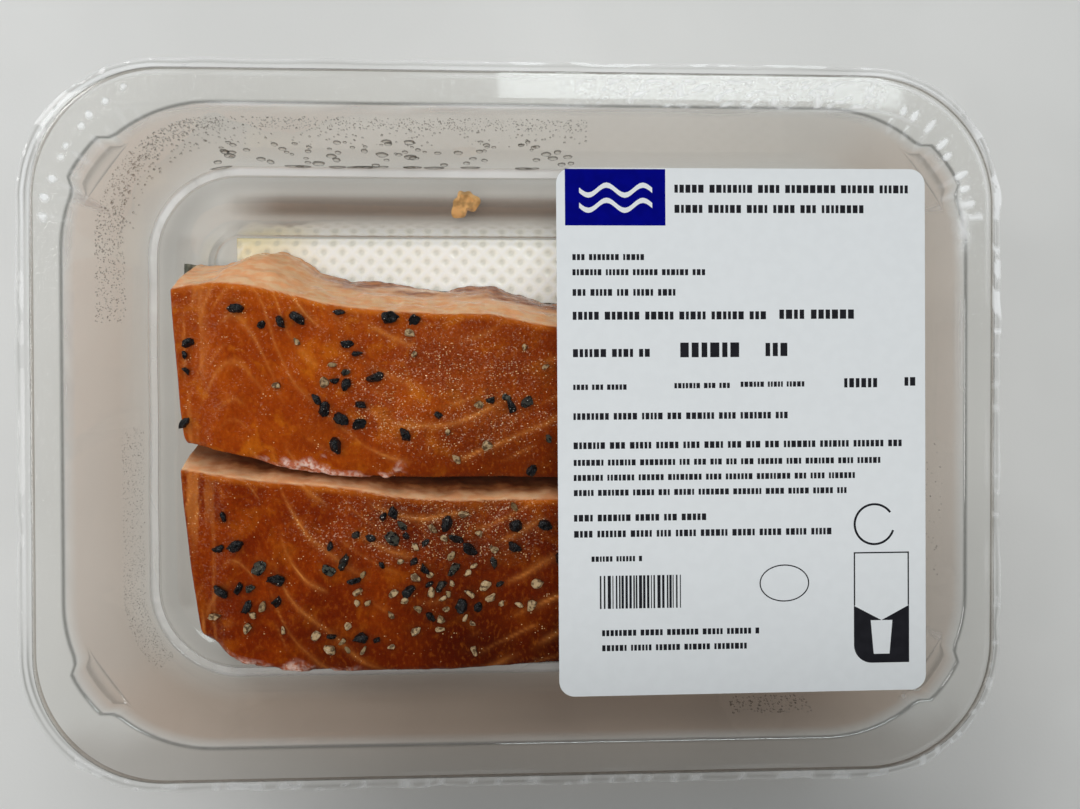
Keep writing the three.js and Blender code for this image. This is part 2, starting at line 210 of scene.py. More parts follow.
class Shader:
    """Short ways to add nodes to the tree of a material or a world. Sizes are in millimetres."""

    def __init__(self, owner):
        owner.use_nodes = True
        self.owner, self.tree = owner, owner.node_tree
        self.tree.nodes.clear()

    def node(self, kind, inputs=None, **settings):
        n = self.tree.nodes.new("ShaderNode" + kind)
        for key, value in settings.items():
            setattr(n, key, value)
        for key, value in (inputs or {}).items():
            if isinstance(value, bpy.types.NodeSocket):
                self.tree.links.new(value, n.inputs[key])
            else:
                n.inputs[key].default_value = value
        return n

    def math(self, operation, a, b=0.0, c=0.0, clamp=False):
        return self.node("Math", {0: a, 1: b, 2: c}, operation=operation, use_clamp=clamp).outputs[0]

    def times(self, a, b, **settings):
        return self.math("MULTIPLY", a, b, **settings)

    def plus(self, a, b, **settings):
        return self.math("ADD", a, b, **settings)

    def vector(self, operation, a, b):
        """Vector maths; b is a number to scale by, or a second vector."""
        second = "Scale" if operation == "SCALE" else 1
        return self.node("VectorMath", {0: a, second: b}, operation=operation).outputs[0]

    def mix(self, factor, a, b):
        return self.node("Mix", {0: factor, 6: a, 7: b}, data_type="RGBA").outputs[2]

    def place(self, scale=(1, 1, 1), offset=(0, 0, 0)):
        """Object coordinates, stretched by scale."""
        coordinates = self.node("TexCoord").outputs["Object"]
        factor = tuple(s / MM for s in scale)
        return self.node("Mapping", {"Vector": coordinates, "Scale": factor, "Location": offset}).outputs[0]

    def noise(self, size, detail=3.0, scale=(1, 1, 1), offset=(0, 0, 0), distortion=0.0):
        """Noise from 0 to 1 whose bumps are about size across."""
        inputs = {
            "Vector": self.place(scale, offset), "Scale": 1 / size, "Detail": detail, "Distortion": distortion,
        }
        return self.node("TexNoise", inputs).outputs[0]

    def cells(self, density, scale=(1, 1, 1)):
        """Cells, density of them to a millimetre: how far the middle is, and a random colour."""
        n = self.node("TexVoronoi", {"Vector": self.place(scale), "Scale": density}, feature="F1")
        return n.outputs["Distance"], n.outputs["Color"]

    def ramp(self, value, low, high, out_low=0.0, out_high=1.0, kind="SMOOTHSTEP"):
        inputs = {"Value": value, 1: low, 2: high, 3: out_low, 4: out_high}
        return self.node("MapRange", inputs, interpolation_type=kind).outputs[0]

    def mask(self, name):
        return self.node("Attribute", attribute_name=name).outputs["Fac"]

    def bump(self, height, distance, **normal):
        return self.node("Bump", {"Height": height, "Distance": distance * MM, **normal}).outputs[0]

    def sheen(self, ior, **normal):
        """How much a thin sheet reflects, the same from both its sides."""
        straight = ((ior - 1) / (ior + 1)) ** 2
        facing = self.node("LayerWeight", {"Blend": 0.5, **normal}).outputs["Facing"]
        return self.math("MULTIPLY_ADD", self.math("POWER", facing, 5.0), 1 - straight, straight)

    def principled(self, **inputs):
        surface = self.node("BsdfPrincipled", {k.replace("_", " "): v for k, v in inputs.items()})
        return self.finish(surface)

    def finish(self, surface, output="OutputMaterial"):
        self.node(output, {"Surface": surface.outputs[0]})
        return self.owner


def rgb(r, g, b):
    return (r, g, b, 1.0)


def new_shader(name):
    return Shader(bpy.data.materials.new(name))


# Colours of painted light on the clear plastic: brown and warm painted shade, dark painted shade along edges,
# and white painted highlights.
SHADED_PLASTIC, WARM_SHADE_PLASTIC = rgb(0.36, 0.285, 0.235), rgb(0.80, 0.53, 0.36)
EDGE_SHADE_PLASTIC, PAINTED_HIGHLIGHT_WHITE = rgb(0.30, 0.30, 0.28), rgb(0.96, 0.97, 0.97)


def clear_material(name, tint, haze, gloss, ior, shaped=False):
    """Thin clear plastic, one sheet for both its faces: light goes straight through, with a
    sheen and a little haze. The mesh's masks add painted light to that: painted dark shade along
    sharp edges, with a little more sheen there, and white painted highlights on folds and edges. On a
    shaped sheet, painted brown and warm shade stands in for what the walls reflect and the shade
    around them, and mirror adds to its sheen. On a flat one, seal is where the welded band ripples it."""
    s = new_shader(name)
    edge_shade = s.mask("edge_shade")
    color, normal = tint, {}
    # On a shaped sheet: brown and warm painted shade and painted reflection.
    if shaped:
        color = s.mix(s.mask("steep"), tint, SHADED_PLASTIC)
        color = s.mix(s.mask("warm_shade"), color, WARM_SHADE_PLASTIC)
    else:
        normal = {"Normal": s.bump(s.times(s.noise(0.9), s.mask("seal")), 0.26)}
    # Painted dark shade along sharp edges.
    color = s.mix(edge_shade, color, EDGE_SHADE_PLASTIC)
    share = s.sheen(ior, **normal)
    if shaped:
        share = s.plus(share, s.plus(s.mask("mirror"), s.times(edge_shade, 0.2)), clamp=True)
    # White painted highlights, added to the real haze.
    haze_and_gleam = s.plus(s.times(s.mask("gleam"), 0.75), haze, clamp=True)
    through = s.node("BsdfTransparent", {"Color": color}).outputs[0]
    white = s.node("BsdfDiffuse", {"Color": PAINTED_HIGHLIGHT_WHITE}).outputs[0]
    shine = s.node("BsdfGlossy", {"Roughness": gloss, **normal}).outputs[0]
    body = s.node("MixShader", {0: haze_and_gleam, 1: through, 2: white}).outputs[0]
    return s.finish(s.node("MixShader", {0: share, 1: body, 2: shine}))


def plain_material(name, color, roughness, grain=0.4, variation=0.08, specular=0.2):
    s = new_shader(name)
    normal = s.bump(s.noise(grain, detail=4), 0.01)
    dark = tuple(c * (1 - variation) for c in color[:3]) + (1.0,)
    shade = s.mix(s.ramp(s.noise(6 * grain), 0.35, 0.65), dark, color)
    return s.principled(Base_Color=shade, Roughness=roughness, Normal=normal, Specular_IOR_Level=specular)


PAD_WHITE, PAD_BRIGHT, PAD_RIDGE_HIGHLIGHT = rgb(0.95, 0.93, 0.81), rgb(1.0, 0.98, 0.89), rgb(1.0, 1.0, 0.97)
PAD_STAIN, PAD_DIMPLE_SHADE = rgb(0.86, 0.74, 0.42), rgb(0.45, 0.46, 0.42)


def pad_material():
    """Embossed white cover over wadding: painted shade grey in the dimples, partly the perforations' own grey,
    painted highlights on the ridges, and stained near one corner.
    """
    s = new_shader("pad_cover")
    split = s.node("SeparateXYZ", {0: s.place()})
    left = s.ramp(split.outputs[0], -38.0, -66.0)
    top = s.ramp(split.outputs[1], 30.0, 43.0)
    blotch = s.ramp(s.noise(7.0), 0.25, 0.5)
    stain = s.times(s.times(left, blotch), s.plus(s.times(top, 0.6), 0.4))
    base = s.mix(s.ramp(s.noise(12.0), 0.3, 0.7), PAD_WHITE, PAD_BRIGHT)
    # Painted highlight on the ridges between the dimples.
    base = s.mix(s.mask("ridge"), base, PAD_RIDGE_HIGHLIGHT)
    color = s.mix(s.times(stain, 0.9, clamp=True), base, PAD_STAIN)
    # Painted shade in the dimples, with the perforations' own grey.
    color = s.mix(s.times(s.mask("dimple"), 0.5), color, PAD_DIMPLE_SHADE)
    rough = s.ramp(s.noise(3.0, detail=2), 0.3, 0.7, 0.22, 0.5)
    normal = s.bump(s.noise(0.6), 0.06)
    coat = {"Coat_Weight": 0.3, "Coat_Roughness": 0.15}
    return s.principled(Base_Color=color, Roughness=rough, Normal=normal, **coat)


GOLDEN_MEAT, FIBRE_MEAT = rgb(0.60, 0.155, 0.005), rgb(0.80, 0.22, 0.02)
FAT_LINE, CRUST_RIM = rgb(0.72, 0.25, 0.05), rgb(0.75, 0.20, 0.015)
PINK_CUT, PALE_CUT = rgb(0.98, 0.46, 0.21), rgb(1.0, 0.62, 0.35)
DARK_BROWN, LIGHT_BROWN, GAP_SHADE = rgb(0.25, 0.060, 0.012), rgb(0.54, 0.19, 0.055), rgb(0.10, 0.03, 0.012)
DARK_CURD, LIGHT_CURD = rgb(0.55, 0.17, 0.09), rgb(0.82, 0.56, 0.47)
PEPPER_SURROUND, PAINTED_GLINT, OIL_SHINE = rgb(0.10, 0.022, 0.005), rgb(0.96, 0.64, 0.32), rgb(1.0, 0.84, 0.62)


def salmon_material(name, orange, red, dark_fibre_and_shade, gold):
    """Smoked meat. The mesh's masks say where the crust, the fat lines, the painted shade that darkens
    the meat towards the right and front, the golden rim, the egg-white pink, the brown of the cut with
    its painted shade, the painted shadow in the gap, the wet patch and the darker ring round each pepper chip
    are."""
    s = new_shader(name)
    crust, wet = s.mask("crust"), s.mask("wet")
    fibre = s.noise(0.8, detail=4, scale=(1.2, 0.7, 1))
    patch = s.ramp(s.noise(9.0, detail=4, distortion=0.6), 0.38, 0.62)
    golden = s.ramp(s.noise(6.0, offset=(9, 3, 0), distortion=0.8), 0.5, 0.72)
    top = s.mix(s.times(patch, 0.65), orange, red)
    top = s.mix(s.times(golden, gold), top, GOLDEN_MEAT)
    # Painted shade: the meat darkened towards the right and the front, with some random mottling.
    top = s.mix(s.mask("shade_and_mottle"), top, dark_fibre_and_shade)
    top = s.mix(s.ramp(fibre, 0.48, 0.75, 0.0, 0.25), top, dark_fibre_and_shade)
    top = s.mix(s.ramp(fibre, 0.5, 0.25, 0.0, 0.15), top, FIBRE_MEAT)
    top = s.mix(s.mask("fat"), top, FAT_LINE)
    top = s.mix(s.mask("rim"), top, CRUST_RIM)

    grain = s.ramp(s.noise(1.8, detail=4, scale=(0.6, 1, 1)), 0.35, 0.65)
    cut = s.mix(grain, PINK_CUT, PALE_CUT)
    # The cut's own brown, deepened by painted shade down the cut.
    cut = s.mix(s.mask("brown"), cut, s.mix(grain, DARK_BROWN, LIGHT_BROWN))
    # Painted shadow in the gap between the portions.
    cut = s.mix(s.mask("gap"), cut, GAP_SHADE)
    curd = s.ramp(s.noise(0.9, detail=4), 0.38, 0.6)
    color = s.mix(crust, cut, top)
    color = s.mix(s.mask("albumin"), color, s.mix(curd, DARK_CURD, LIGHT_CURD))
    # Darker round each pepper chip.
    color = s.mix(s.times(s.mask("stain"), 0.6), color, PEPPER_SURROUND)

    # Painted glints: small warm-white spots painted into the colour where beads of oil catch the light, most
    # of them where the surface is wet and along the fat.
    distance, chance = s.cells(2.1, (1, 1.15, 1))
    odds = s.plus(s.times(wet, 0.42), s.times(s.mask("fat"), 0.3))
    odds = s.plus(odds, s.ramp(s.noise(3.2), 0.36, 0.64, -0.3, 0.12))
    chosen = s.times(s.ramp(s.plus(chance, odds), 0.9, 1.0), crust)
    glint_spot = s.times(s.ramp(distance, 0.36, 0.12), chosen)
    color = s.mix(s.times(glint_spot, 0.85), color, PAINTED_GLINT)

    # The oily surface is a mosaic of small wet facets, some of which catch the light.
    _, tilt = s.cells(4.2, (0.8, 1.2, 1))
    swing = s.times(s.plus(s.times(wet, 0.9), 0.3), crust)
    lean = s.vector("SCALE", s.vector("SUBTRACT", tilt, (0.5, 0.5, 0.5)), swing)
    straight = s.node("NewGeometry").outputs["Normal"]
    facet = s.node("VectorMath", {0: s.vector("ADD", straight, lean)}, operation="NORMALIZE").outputs[0]
    lumps = s.times(s.noise(0.45, scale=(0.7, 1.3, 1)), 0.7)
    level = s.plus(s.times(crust, 0.75), 0.25)
    height = s.times(s.plus(lumps, s.times(fibre, 0.4)), level)
    return s.principled(
        Base_Color=color, Roughness=0.11, Normal=s.bump(height, 0.035, Normal=facet), Specular_Tint=OIL_SHINE,
        Specular_IOR_Level=s.times(s.math("MULTIPLY_ADD", wet, 0.75, 0.10), level),
        Subsurface_Weight=0.1, Subsurface_Radius=(0.9, 0.3, 0.12), Subsurface_Scale=1.2 * MM,
    )


SKIN_SILVER, SKIN_SCALE, SKIN_CLOUD = rgb(0.26, 0.26, 0.20), rgb(0.09, 0.095, 0.07), rgb(0.42, 0.38, 0.28)


def skin_material():
    """Grey-green back of the skin with small scales."""
    s = new_shader("fish_skin")
    scales = s.ramp(s.cells(0.7)[0], 0.1, 0.6)
    base = s.mix(scales, SKIN_SILVER, SKIN_SCALE)
    color = s.mix(s.ramp(s.noise(6.0), 0.4, 0.7), base, SKIN_CLOUD)
    return s.principled(Base_Color=color, Roughness=0.35, Normal=s.bump(scales, 0.1))


PEPPER_GLINT = rgb(0.85, 0.80, 0.72)


def pepper_material(name, light, dark, husk, roughness, wrinkles):
    """Crushed corns; the mesh's tone mask picks the few that show their husk instead."""
    s = new_shader(name)
    outer = s.mix(s.ramp(s.mask("tone"), 0.68, 0.95), light, husk)
    shade = s.mix(s.ramp(s.noise(0.8, detail=4), 0.38, 0.56), dark, outer)
    distance, chance = s.cells(1.9)
    glint = s.times(s.ramp(distance, 0.26, 0.1), s.ramp(chance, 0.7, 0.76))
    shade = s.mix(s.times(glint, 0.7), shade, PEPPER_GLINT)
    normal = s.bump(s.noise(0.4), wrinkles)
    return s.principled(Base_Color=shade, Roughness=roughness, Normal=normal, Specular_IOR_Level=0.35)


def water_material():
    """A drop: clear in the middle and dark where it bends the light away at its rim."""
    s = new_shader("water")
    color = s.mix(s.mask("rim"), rgb(0.93, 0.93, 0.92), rgb(0.34, 0.33, 0.31))
    through = s.node("BsdfTransparent", {"Color": color}).outputs[0]
    shine = s.node("BsdfGlossy", {"Roughness": 0.05}).outputs[0]
    return s.finish(s.node("MixShader", {0: s.sheen(1.5), 1: through, 2: shine}))


def floor_material():
    s = new_shader("table_top")
    color = s.mix(s.ramp(s.noise(60.0), 0.35, 0.65), rgb(0.70, 0.70, 0.68), rgb(0.74, 0.74, 0.72))
    return s.principled(Base_Color=color, Roughness=0.42, Normal=s.bump(s.noise(0.8), 0.02))


TRAY_PLASTIC = clear_material("tray_plastic", rgb(0.965, 0.955, 0.93), 0.015, 0.05, 1.6, shaped=True)
FILM_PLASTIC = clear_material("film_plastic", rgb(0.995, 0.995, 0.99), 0.001, 0.03, 1.45)
PAPER = plain_material("label_paper", rgb(0.74, 0.765, 0.775), 0.5, variation=0.02)
INK = plain_material("dark_ink", rgb(0.018, 0.018, 0.022), 0.7, variation=0.2, specular=0.05)
BLUE_INK = plain_material("blue_ink", rgb(0.001, 0.002, 0.20), 0.7, variation=0.15, specular=0.03)
PAD_COVER = pad_material()
# The front portion's colours are darker than the back's: partly painted shade, where less light reaches the
# near side, partly a redder, less golden meat.
SALMON = {
    "back": salmon_material(
        "salmon_back_meat", rgb(0.39, 0.062, 0.002), rgb(0.27, 0.030, 0.001), rgb(0.10, 0.010, 0.0005), 0.6
    ),
    "front": salmon_material(
        "salmon_front_meat", rgb(0.26, 0.031, 0.0005), rgb(0.15, 0.011, 0.0004),
        rgb(0.035, 0.002, 0.0001), 0.25,
    ),
}
SKIN = skin_material()
PEPPER = {
    "black": pepper_material(
        "pepper_black", rgb(0.011, 0.011, 0.012), rgb(0.001, 0.001, 0.001), rgb(0.06, 0.06, 0.045), 0.12, 0.2
    ),
    "beige": pepper_material(
        "pepper_beige", rgb(0.52, 0.37, 0.20), rgb(0.12, 0.07, 0.032), rgb(0.30, 0.21, 0.10), 0.42, 0.14
    ),
}
WATER = water_material()
FLAKE = plain_material("salmon_flake", rgb(0.84, 0.50, 0.20), 0.2, grain=0.3, variation=0.45, specular=0.5)
FLOOR = floor_material()


# The tray

TRAY_SIDE_POINTS = 12
WALL_WAVER, WALL_WAVE = 0.12, 16.0
FLOOR_MARGIN = 4.0


def corner_angles(step=3.0):
    return np.linspace(0.0, 90.0, int(90 / step) + 1)


def rounded_ring(hx, hy, radius, z, lug=0.0, angles=None, center=(TRAY_X, 0.0), side_points=0):
    """One level of a rounded rectangle, anticlockwise from above, with side_points evenly spaced
    points on the straight stretch after each corner."""
    angles = corner_angles() if angles is None else angles
    corners = []
    for quarter in range(4):
        sign_x = 1 if quarter in (0, 3) else -1
        sign_y = 1 if quarter < 2 else -1
        order = angles[::-1] if quarter % 2 else angles
        reach = radius + lug_offset(order, radius, lug)
        px = sign_x * (hx - radius + reach * np.cos(np.radians(order)))
        py = sign_y * (hy - radius + reach * np.sin(np.radians(order)))
        corners.append(np.stack([px, py], 1))
    t = np.linspace(0, 1, side_points + 2)[1:-1, None]
    points = []
    for corner, following in zip(corners, corners[1:] + corners[:1]):
        points += [corner, lerp(corner[-1], following[0], t)]
    ring = np.vstack(points)
    return np.column_stack([ring + center, np.full(len(ring), z)])


def lug_offset(angles, radius, lug):
    """How far a level bulges at a corner: out for a lug above 0, and cut flat for one below."""
    turn = np.abs(np.asarray(angles) - LUG_ANGLE)
    if lug == 0:
        return np.zeros_like(turn)
    if lug > 0:
        return lug * LUG_REACH * (1 - smoothstep(turn, LUG_HALF_ANGLE * 0.62, LUG_HALF_ANGLE))
    chord = radius * math.cos(math.radians(LUG_HALF_ANGLE)) / np.cos(np.radians(turn))
    return np.where(turn < LUG_HALF_ANGLE, -lug * (chord - radius), 0.0)


def tray_levels():
    """(hx, hy, radius, z, lug, fillet, line) from the lip's edge over the rim and down to the
    floor. line is how strongly the fillet shows as a painted dark edge, below 0 at the lugs only."""
    hx, hy = OPENING_LENGTH / 2, OPENING_WIDTH / 2
    rim_x, rim_y = TRAY_LENGTH / 2, TRAY_WIDTH / 2
    drop = TRAY_DEPTH - LEDGE_HEIGHT
    step = FLANGE_STEP
    levels = [
        (rim_x, rim_y, RIM_RADIUS, TRAY_DEPTH - LIP_HEIGHT, 0, 0, 0.6),
        (rim_x - LIP_DRAFT, rim_y - LIP_DRAFT, RIM_RADIUS, TRAY_DEPTH, 0, 0.7, 0.7),
        (rim_x - step, rim_y - step, RIM_RADIUS - step, TRAY_DEPTH, 0, 0, 0),
        (hx + step, hy + step, OPENING_RADIUS + step, TRAY_DEPTH, 1, 0, 0),
    ]

    def wall(depth, lug, fillet, line):
        t = depth / drop
        inset = LEDGE_INSET * t
        radius = lerp(OPENING_RADIUS, LEDGE_RADIUS, t)
        levels.append((hx - inset, hy - inset, radius, TRAY_DEPTH - depth, lug, fillet, line))

    wall(0, 1, 0.8, 0.8)
    wall(LUG_DEPTH, 1, 0.25, -0.4)
    wall(LUG_DEPTH + LUG_SHELF, -1, 0.15, -0.4)
    wall(drop * 0.55, -0.6, 1.5, 0)
    wall(drop, 0, 0.7, 0.35)
    inner = tuple(v - LEDGE_WIDTH for v in levels[-1][:3])
    levels.append((*inner, LEDGE_HEIGHT, 0, 0.3, 0.6))
    floor = (FLOOR_LENGTH / 2, FLOOR_WIDTH / 2, FLOOR_RADIUS, FLOOR_TOP)
    for i in range(SHOULDER_STEPS + 1):
        run, down = shoulder(i / SHOULDER_STEPS)
        sizes = [lerp(a, b, run) for a, b in zip(inner, floor[:3])]
        levels.append((*sizes, lerp(STEP_TOP, FLOOR_TOP, down), 0, 0.25 if i == 0 else 0, 0.3))
    levels.append((*floor, 0, 0.8, 0.08))
    levels.append((floor[0] - FLOOR_MARGIN, floor[1] - FLOOR_MARGIN, *floor[2:], 0, 0, 0))
    return levels


def shoulder(t):
    """How far in and down the rounded shoulder is, as shares of its run and fall, at t of its turn."""
    steep = math.radians(SHOULDER_ANGLE)
    run = SHOULDER_RUN * math.sin(steep * t) / math.sin(steep)
    down = SHOULDER_FALL * (1 - math.cos(steep * t)) / (1 - math.cos(steep))
    return run, down


def shoulder_height(y):
    """Height of the lower wall on the long sides at y."""
    inner = OPENING_WIDTH / 2 - LEDGE_INSET - LEDGE_WIDTH
    share = (inner - np.abs(y)) / (inner - FLOOR_WIDTH / 2)
    turns = [shoulder(i / SHOULDER_STEPS) for i in range(SHOULDER_STEPS + 1)] + [(1.0, 1.0)]
    return lerp(STEP_TOP, FLOOR_TOP, np.interp(share, *zip(*turns)))


def filleted(levels, steps=6):
    """The levels with each marked edge turned into a short curve, and how dark a painted edge line each new
    level draws: nothing at the curve's ends, the level's own line in the middle."""
    rows = np.array([lv[:5] for lv in levels], float)
    out, lines = [rows[0]], [levels[0][6]]
    for k in range(1, len(rows) - 1):
        size, line = levels[k][5:]
        here = rows[k]
        before = np.linalg.norm((rows[k - 1] - here)[1:4:2])
        after = np.linalg.norm((rows[k + 1] - here)[1:4:2])
        reach = min(size, 0.45 * before, 0.45 * after)
        if reach <= 0:
            out.append(here)
            lines.append(0.0)
            continue
        start = lerp(here, rows[k - 1], reach / before)
        end = lerp(here, rows[k + 1], reach / after)
        for t in np.linspace(0, 1, steps + 1):
            out.append((1 - t) ** 2 * start + 2 * t * (1 - t) * here + t * t * end)
            lines.append(line * math.sin(math.pi * t) ** 2)
    out.append(rows[-1])
    lines.append(0.0)
    return out, lines


def from_corner(x, y):
    """How far along and across a point is past the middles of the opening's corner arcs."""
    return np.abs(x) - (OPENING_LENGTH / 2 - OPENING_RADIUS), np.abs(y) - (OPENING_WIDTH / 2 - OPENING_RADIUS)


def at_lugs(points):
    """A mask, 1 at the four lugs."""
    x, y = from_corner(points[:, 0] - TRAY_X, points[:, 1])
    turn = np.abs(np.degrees(np.arctan2(y, x)) - LUG_ANGLE)
    return np.where((x > 0) & (y > 0), 1 - smoothstep(turn, LUG_HALF_ANGLE, LUG_HALF_ANGLE + 2), 0.0)


def build_tray():
    rows, lines = filleted(tray_levels())
    rings = np.array([rounded_ring(*row[:4], lug=row[4], side_points=TRAY_SIDE_POINTS) for row in rows])
    walls = rings.reshape(-1, 3)
    slack = smoothstep(TRAY_DEPTH - walls[:, 2], 2, 10) * smoothstep(walls[:, 2], 1, 6)
    for axis, seed in ((0, 5), (1, 6)):
        walls[:, axis] += WALL_WAVER * slack * noise(walls, WALL_WAVE, seed)
    points = np.vstack([walls, rings[-1].mean(0)])
    count = rings.shape[1]
    # Painted dark shade along the fillets, and at the lugs only where line is below 0.
    edge_shade = [np.full(count, line) if line >= 0 else -line * at_lugs(ring) for line, ring in zip(lines, rings)]
    masks = {"edge_shade": np.append(np.concatenate(edge_shade), 0.0), **tray_masks(points)}
    faces = ring_faces(len(rings), count, first_cap=False)
    make_piece("tray_shell", points, faces, TRAY_PLASTIC, ["tray"], masks=masks)


def tray_masks(points):
    """Where the tray gets painted shade and painted reflection, more sheen and painted highlights, by the
    height z and the side of each point.
    """
    x, y, z = points[:, 0] - TRAY_X, points[:, 1], points[:, 2]
    ends = smoothstep(np.abs(x), 60, 80)
    near = smoothstep(-y, 30, 60)
    long_side = 1 - smoothstep(np.abs(x), 57.0, 69.0)
    short_side = 0.35 * (1 - smoothstep(np.abs(y), 40.0, 43.0))
    facing = np.where(np.abs(y) > FLOOR_WIDTH / 2, long_side, np.maximum(short_side, long_side * (y > 0)))
    far_side = long_side * (y > 0)

    # Painted reflection and shade: the tan and brown bands on the lower wall stand in for the fish and pad
    # mirrored in it and the shade beneath; the upper wall and the near rim are darkened as painted shade, more
    # at the ends and on the near side.
    tan = 0.22 * band(z, 3.0, 4.0, 10.4, 10.7) * (0.3 + 0.7 * facing)
    brown = 0.82 * band(z, 5.4, 8.2, 9.3, 10.4) * facing
    wall = band(z, 11.6, 12.6, 34.0, 35.6)
    near_rim = 0.35 * smoothstep(-y, 56, 62) * smoothstep(z, 35.4, 35.8)
    steep = np.max([tan, brown, (0.07 + 0.06 * ends + 0.12 * near) * wall, near_rim], axis=0)

    streak = noise(points * [1, 1, 0.3], 6.0, 7) + 0.5 * noise(points, 1.5, 8)
    outer = np.abs(points).max(1) > 60
    # Painted highlights: glints along the lip, the ledge and the lugs, and a painted reflection of the pad in
    # the strip low on the far wall.
    lip = band(z, 34.4, 34.8, 35.2, 35.8) * outer * (0.3 + 0.7 * smoothstep(y, -40, 40))
    ledge = 0.9 * band(z, 11.0, 11.15, 11.4, 11.8) * (0.4 + 0.6 * smoothstep(y, 20, 50))
    strip = 0.15 * band(z, 1.4, 2.1, 4.0, 4.6) * far_side
    ripple = 1 + 0.35 * np.cos(math.tau * x / DIMPLE_PITCH) + 0.5 * streak
    lug = at_lugs(points)
    glint = 4 * lug * (1 - lug) * band(z, 30.8, 31.8, 33.4, 34.4) * smoothstep(streak, -0.2, 0.5)
    gleam = lip * (0.35 + 0.5 * streak) + strip * ripple + ledge * (0.9 + 0.5 * streak) + glint
    return {
        "steep": steep,
        # Painted warm shade on the upper walls, strongest on the near side, for shade tinted by light bounced
        # off the fish.
        "warm_shade": wall * np.maximum(0.12 + 0.16 * ends, 0.44 * near),
        "mirror": band(z, 0.7, 1.2, 4.6, 5.6) * facing,
        "gleam": np.clip(gleam, 0, 1),
    }


# The film lid

# Fans of puckers at the corners: the corner's signs, how far out they start at its two ends, and
# how long and how bright they are.
FOLD_FANS = [
    (-1, 1, 30.2, 34.0, 1.6, 1.4), (1, 1, 28.2, 30.6, 3.2, 1.5),
    (-1, 1, 26.0, 27.0, 5.5, 0.16), (1, 1, 24.5, 26.0, 5.5, 0.16),
]
FOLD_ANGLES = np.arange(12.0, 66.0, 6.2)
FILM_MARGIN, FILM_LIFT = 0.35, 0.09
FILM_INSETS = [*np.arange(0, 12.0, 0.4), 13, 15, 18, 23, 28]
FILM_INNER_SHARES = (0.8, 0.6, 0.4, 0.2)
FILM_CENTER_DEPTH = 40.0
FILM_SIDE_POINTS, FILM_CORNER_STEP, FILM_SMALLEST_RADIUS = 110, 0.5, 3


def film_folds(points):
    """How strong the short puckers are that fan out round each corner. Each one lies along the
    radius and is widest at its middle."""
    rng = np.random.default_rng(FOLD_SEED)
    x, y = points[:, 0] - TRAY_X, points[:, 1]
    corner_x, corner_y = from_corner(x, y)
    angle = np.degrees(np.arctan2(corner_y, corner_x))
    reach = np.hypot(corner_x, corner_y)
    folds = np.zeros(len(points))
    for side_x, side_y, first, last, length, strength in FOLD_FANS:
        here = (corner_x > 0) & (corner_y > 0) & (x * side_x > 0) & (y * side_y > 0)
        for middle in FOLD_ANGLES + rng.uniform(-1.4, 1.4, len(FOLD_ANGLES)):
            start = lerp(first, last, middle / 60) + rng.uniform(-0.3, 0.3)
            size, bright = length * rng.uniform(0.6, 1.2), strength * rng.uniform(0.35, 1.0)
            along = (reach - start) / size
            width = 0.25 + 0.4 * np.sin(np.pi * np.clip(along, 0, 1))
            across = np.radians(angle - middle) * reach / width
            shape = band(along, 0, 0.25, 0.85, 1.1) * bell(across, 1, power=4)
            folds = np.maximum(folds, np.where(here, bright * shape, 0))
    return folds


def film_seal(inset):
    """The welded band over the rim."""
    return band(inset, 2.6, 3.2, 8.0, 9.0)


def film_height(points, inset):
    """Height of the film over the rim: flat, with puckers at the corners and a crinkled hem."""
    broad = 0.006 * noise(points, 22.0, 41)
    mottle = 0.03 * film_seal(inset) * (noise(points, 2.4, 43) + 0.4 * noise(points, 1.0, 42))
    puckers = 0.12 * film_folds(points)
    hem = 1 - smoothstep(inset, 0.0, 2.4)
    crinkle = hem * (0.10 * noise(points, 3.4, 45) + 0.08 * noise(points, 1.5, 46) - 0.25)
    return TRAY_DEPTH + FILM_LIFT + broad + mottle + puckers + crinkle


def film_gleam(points, inset):
    """Painted highlights, where the film is made to look white: its cut edge, its folds, beads of the hem
    on two sides, and a smear and a mottled stretch of the weld that the light falls on."""
    x, y = points[:, 0], points[:, 1]
    lit = smoothstep(x, 84, 92) * band(y, 10, 24, 54, 60)
    side = lit + 0.4 * smoothstep(x, 70, 92) + 0.4 * smoothstep(-y, 50, 68)
    beads = smoothstep(noise(points, 1.5, 49), 0.22, 0.38) * (1 - smoothstep(inset, 1.4, 2.0))
    beads = beads * np.clip(side, 0, 1)
    smear = bell(x, 1.3, 87.5) * band(y, 30, 38, 46, 52) * (0.45 + 0.5 * noise(points, 1.2, 54))
    wave = noise(points, 9.0, 50)
    corner = smoothstep(np.abs(x), 58, 72) * smoothstep(y, 28, 45)
    near = 1 - 0.55 * smoothstep(-y, 0, 50)
    edge = bell(inset, 0.3, 0.1) * (0.4 + 0.4 * wave) * near
    rolled = bell(inset, 0.3, 1.4) * (0.35 + 0.4 * wave + 0.5 * corner) * near
    second = bell(inset, 0.3, 2.9) * (0.15 + 0.4 * wave + 0.4 * corner) * near
    inner_weld = bell(inset, 0.3, 8.6) * smoothstep(y, 55, 60) * (0.3 + 0.5 * wave)
    far_side = smoothstep(y, 60.5, 61.5) * band(x, 5, 20, 66, 76)
    mottle = 0.8 * far_side * film_seal(inset) * smoothstep(fractal(points, 0.9, 55), 0.0, 0.8)
    parts = [beads, edge, rolled, second, inner_weld, smear, mottle, 1.2 * film_folds(points)]
    return np.clip(np.max(parts, axis=0), 0, 1)


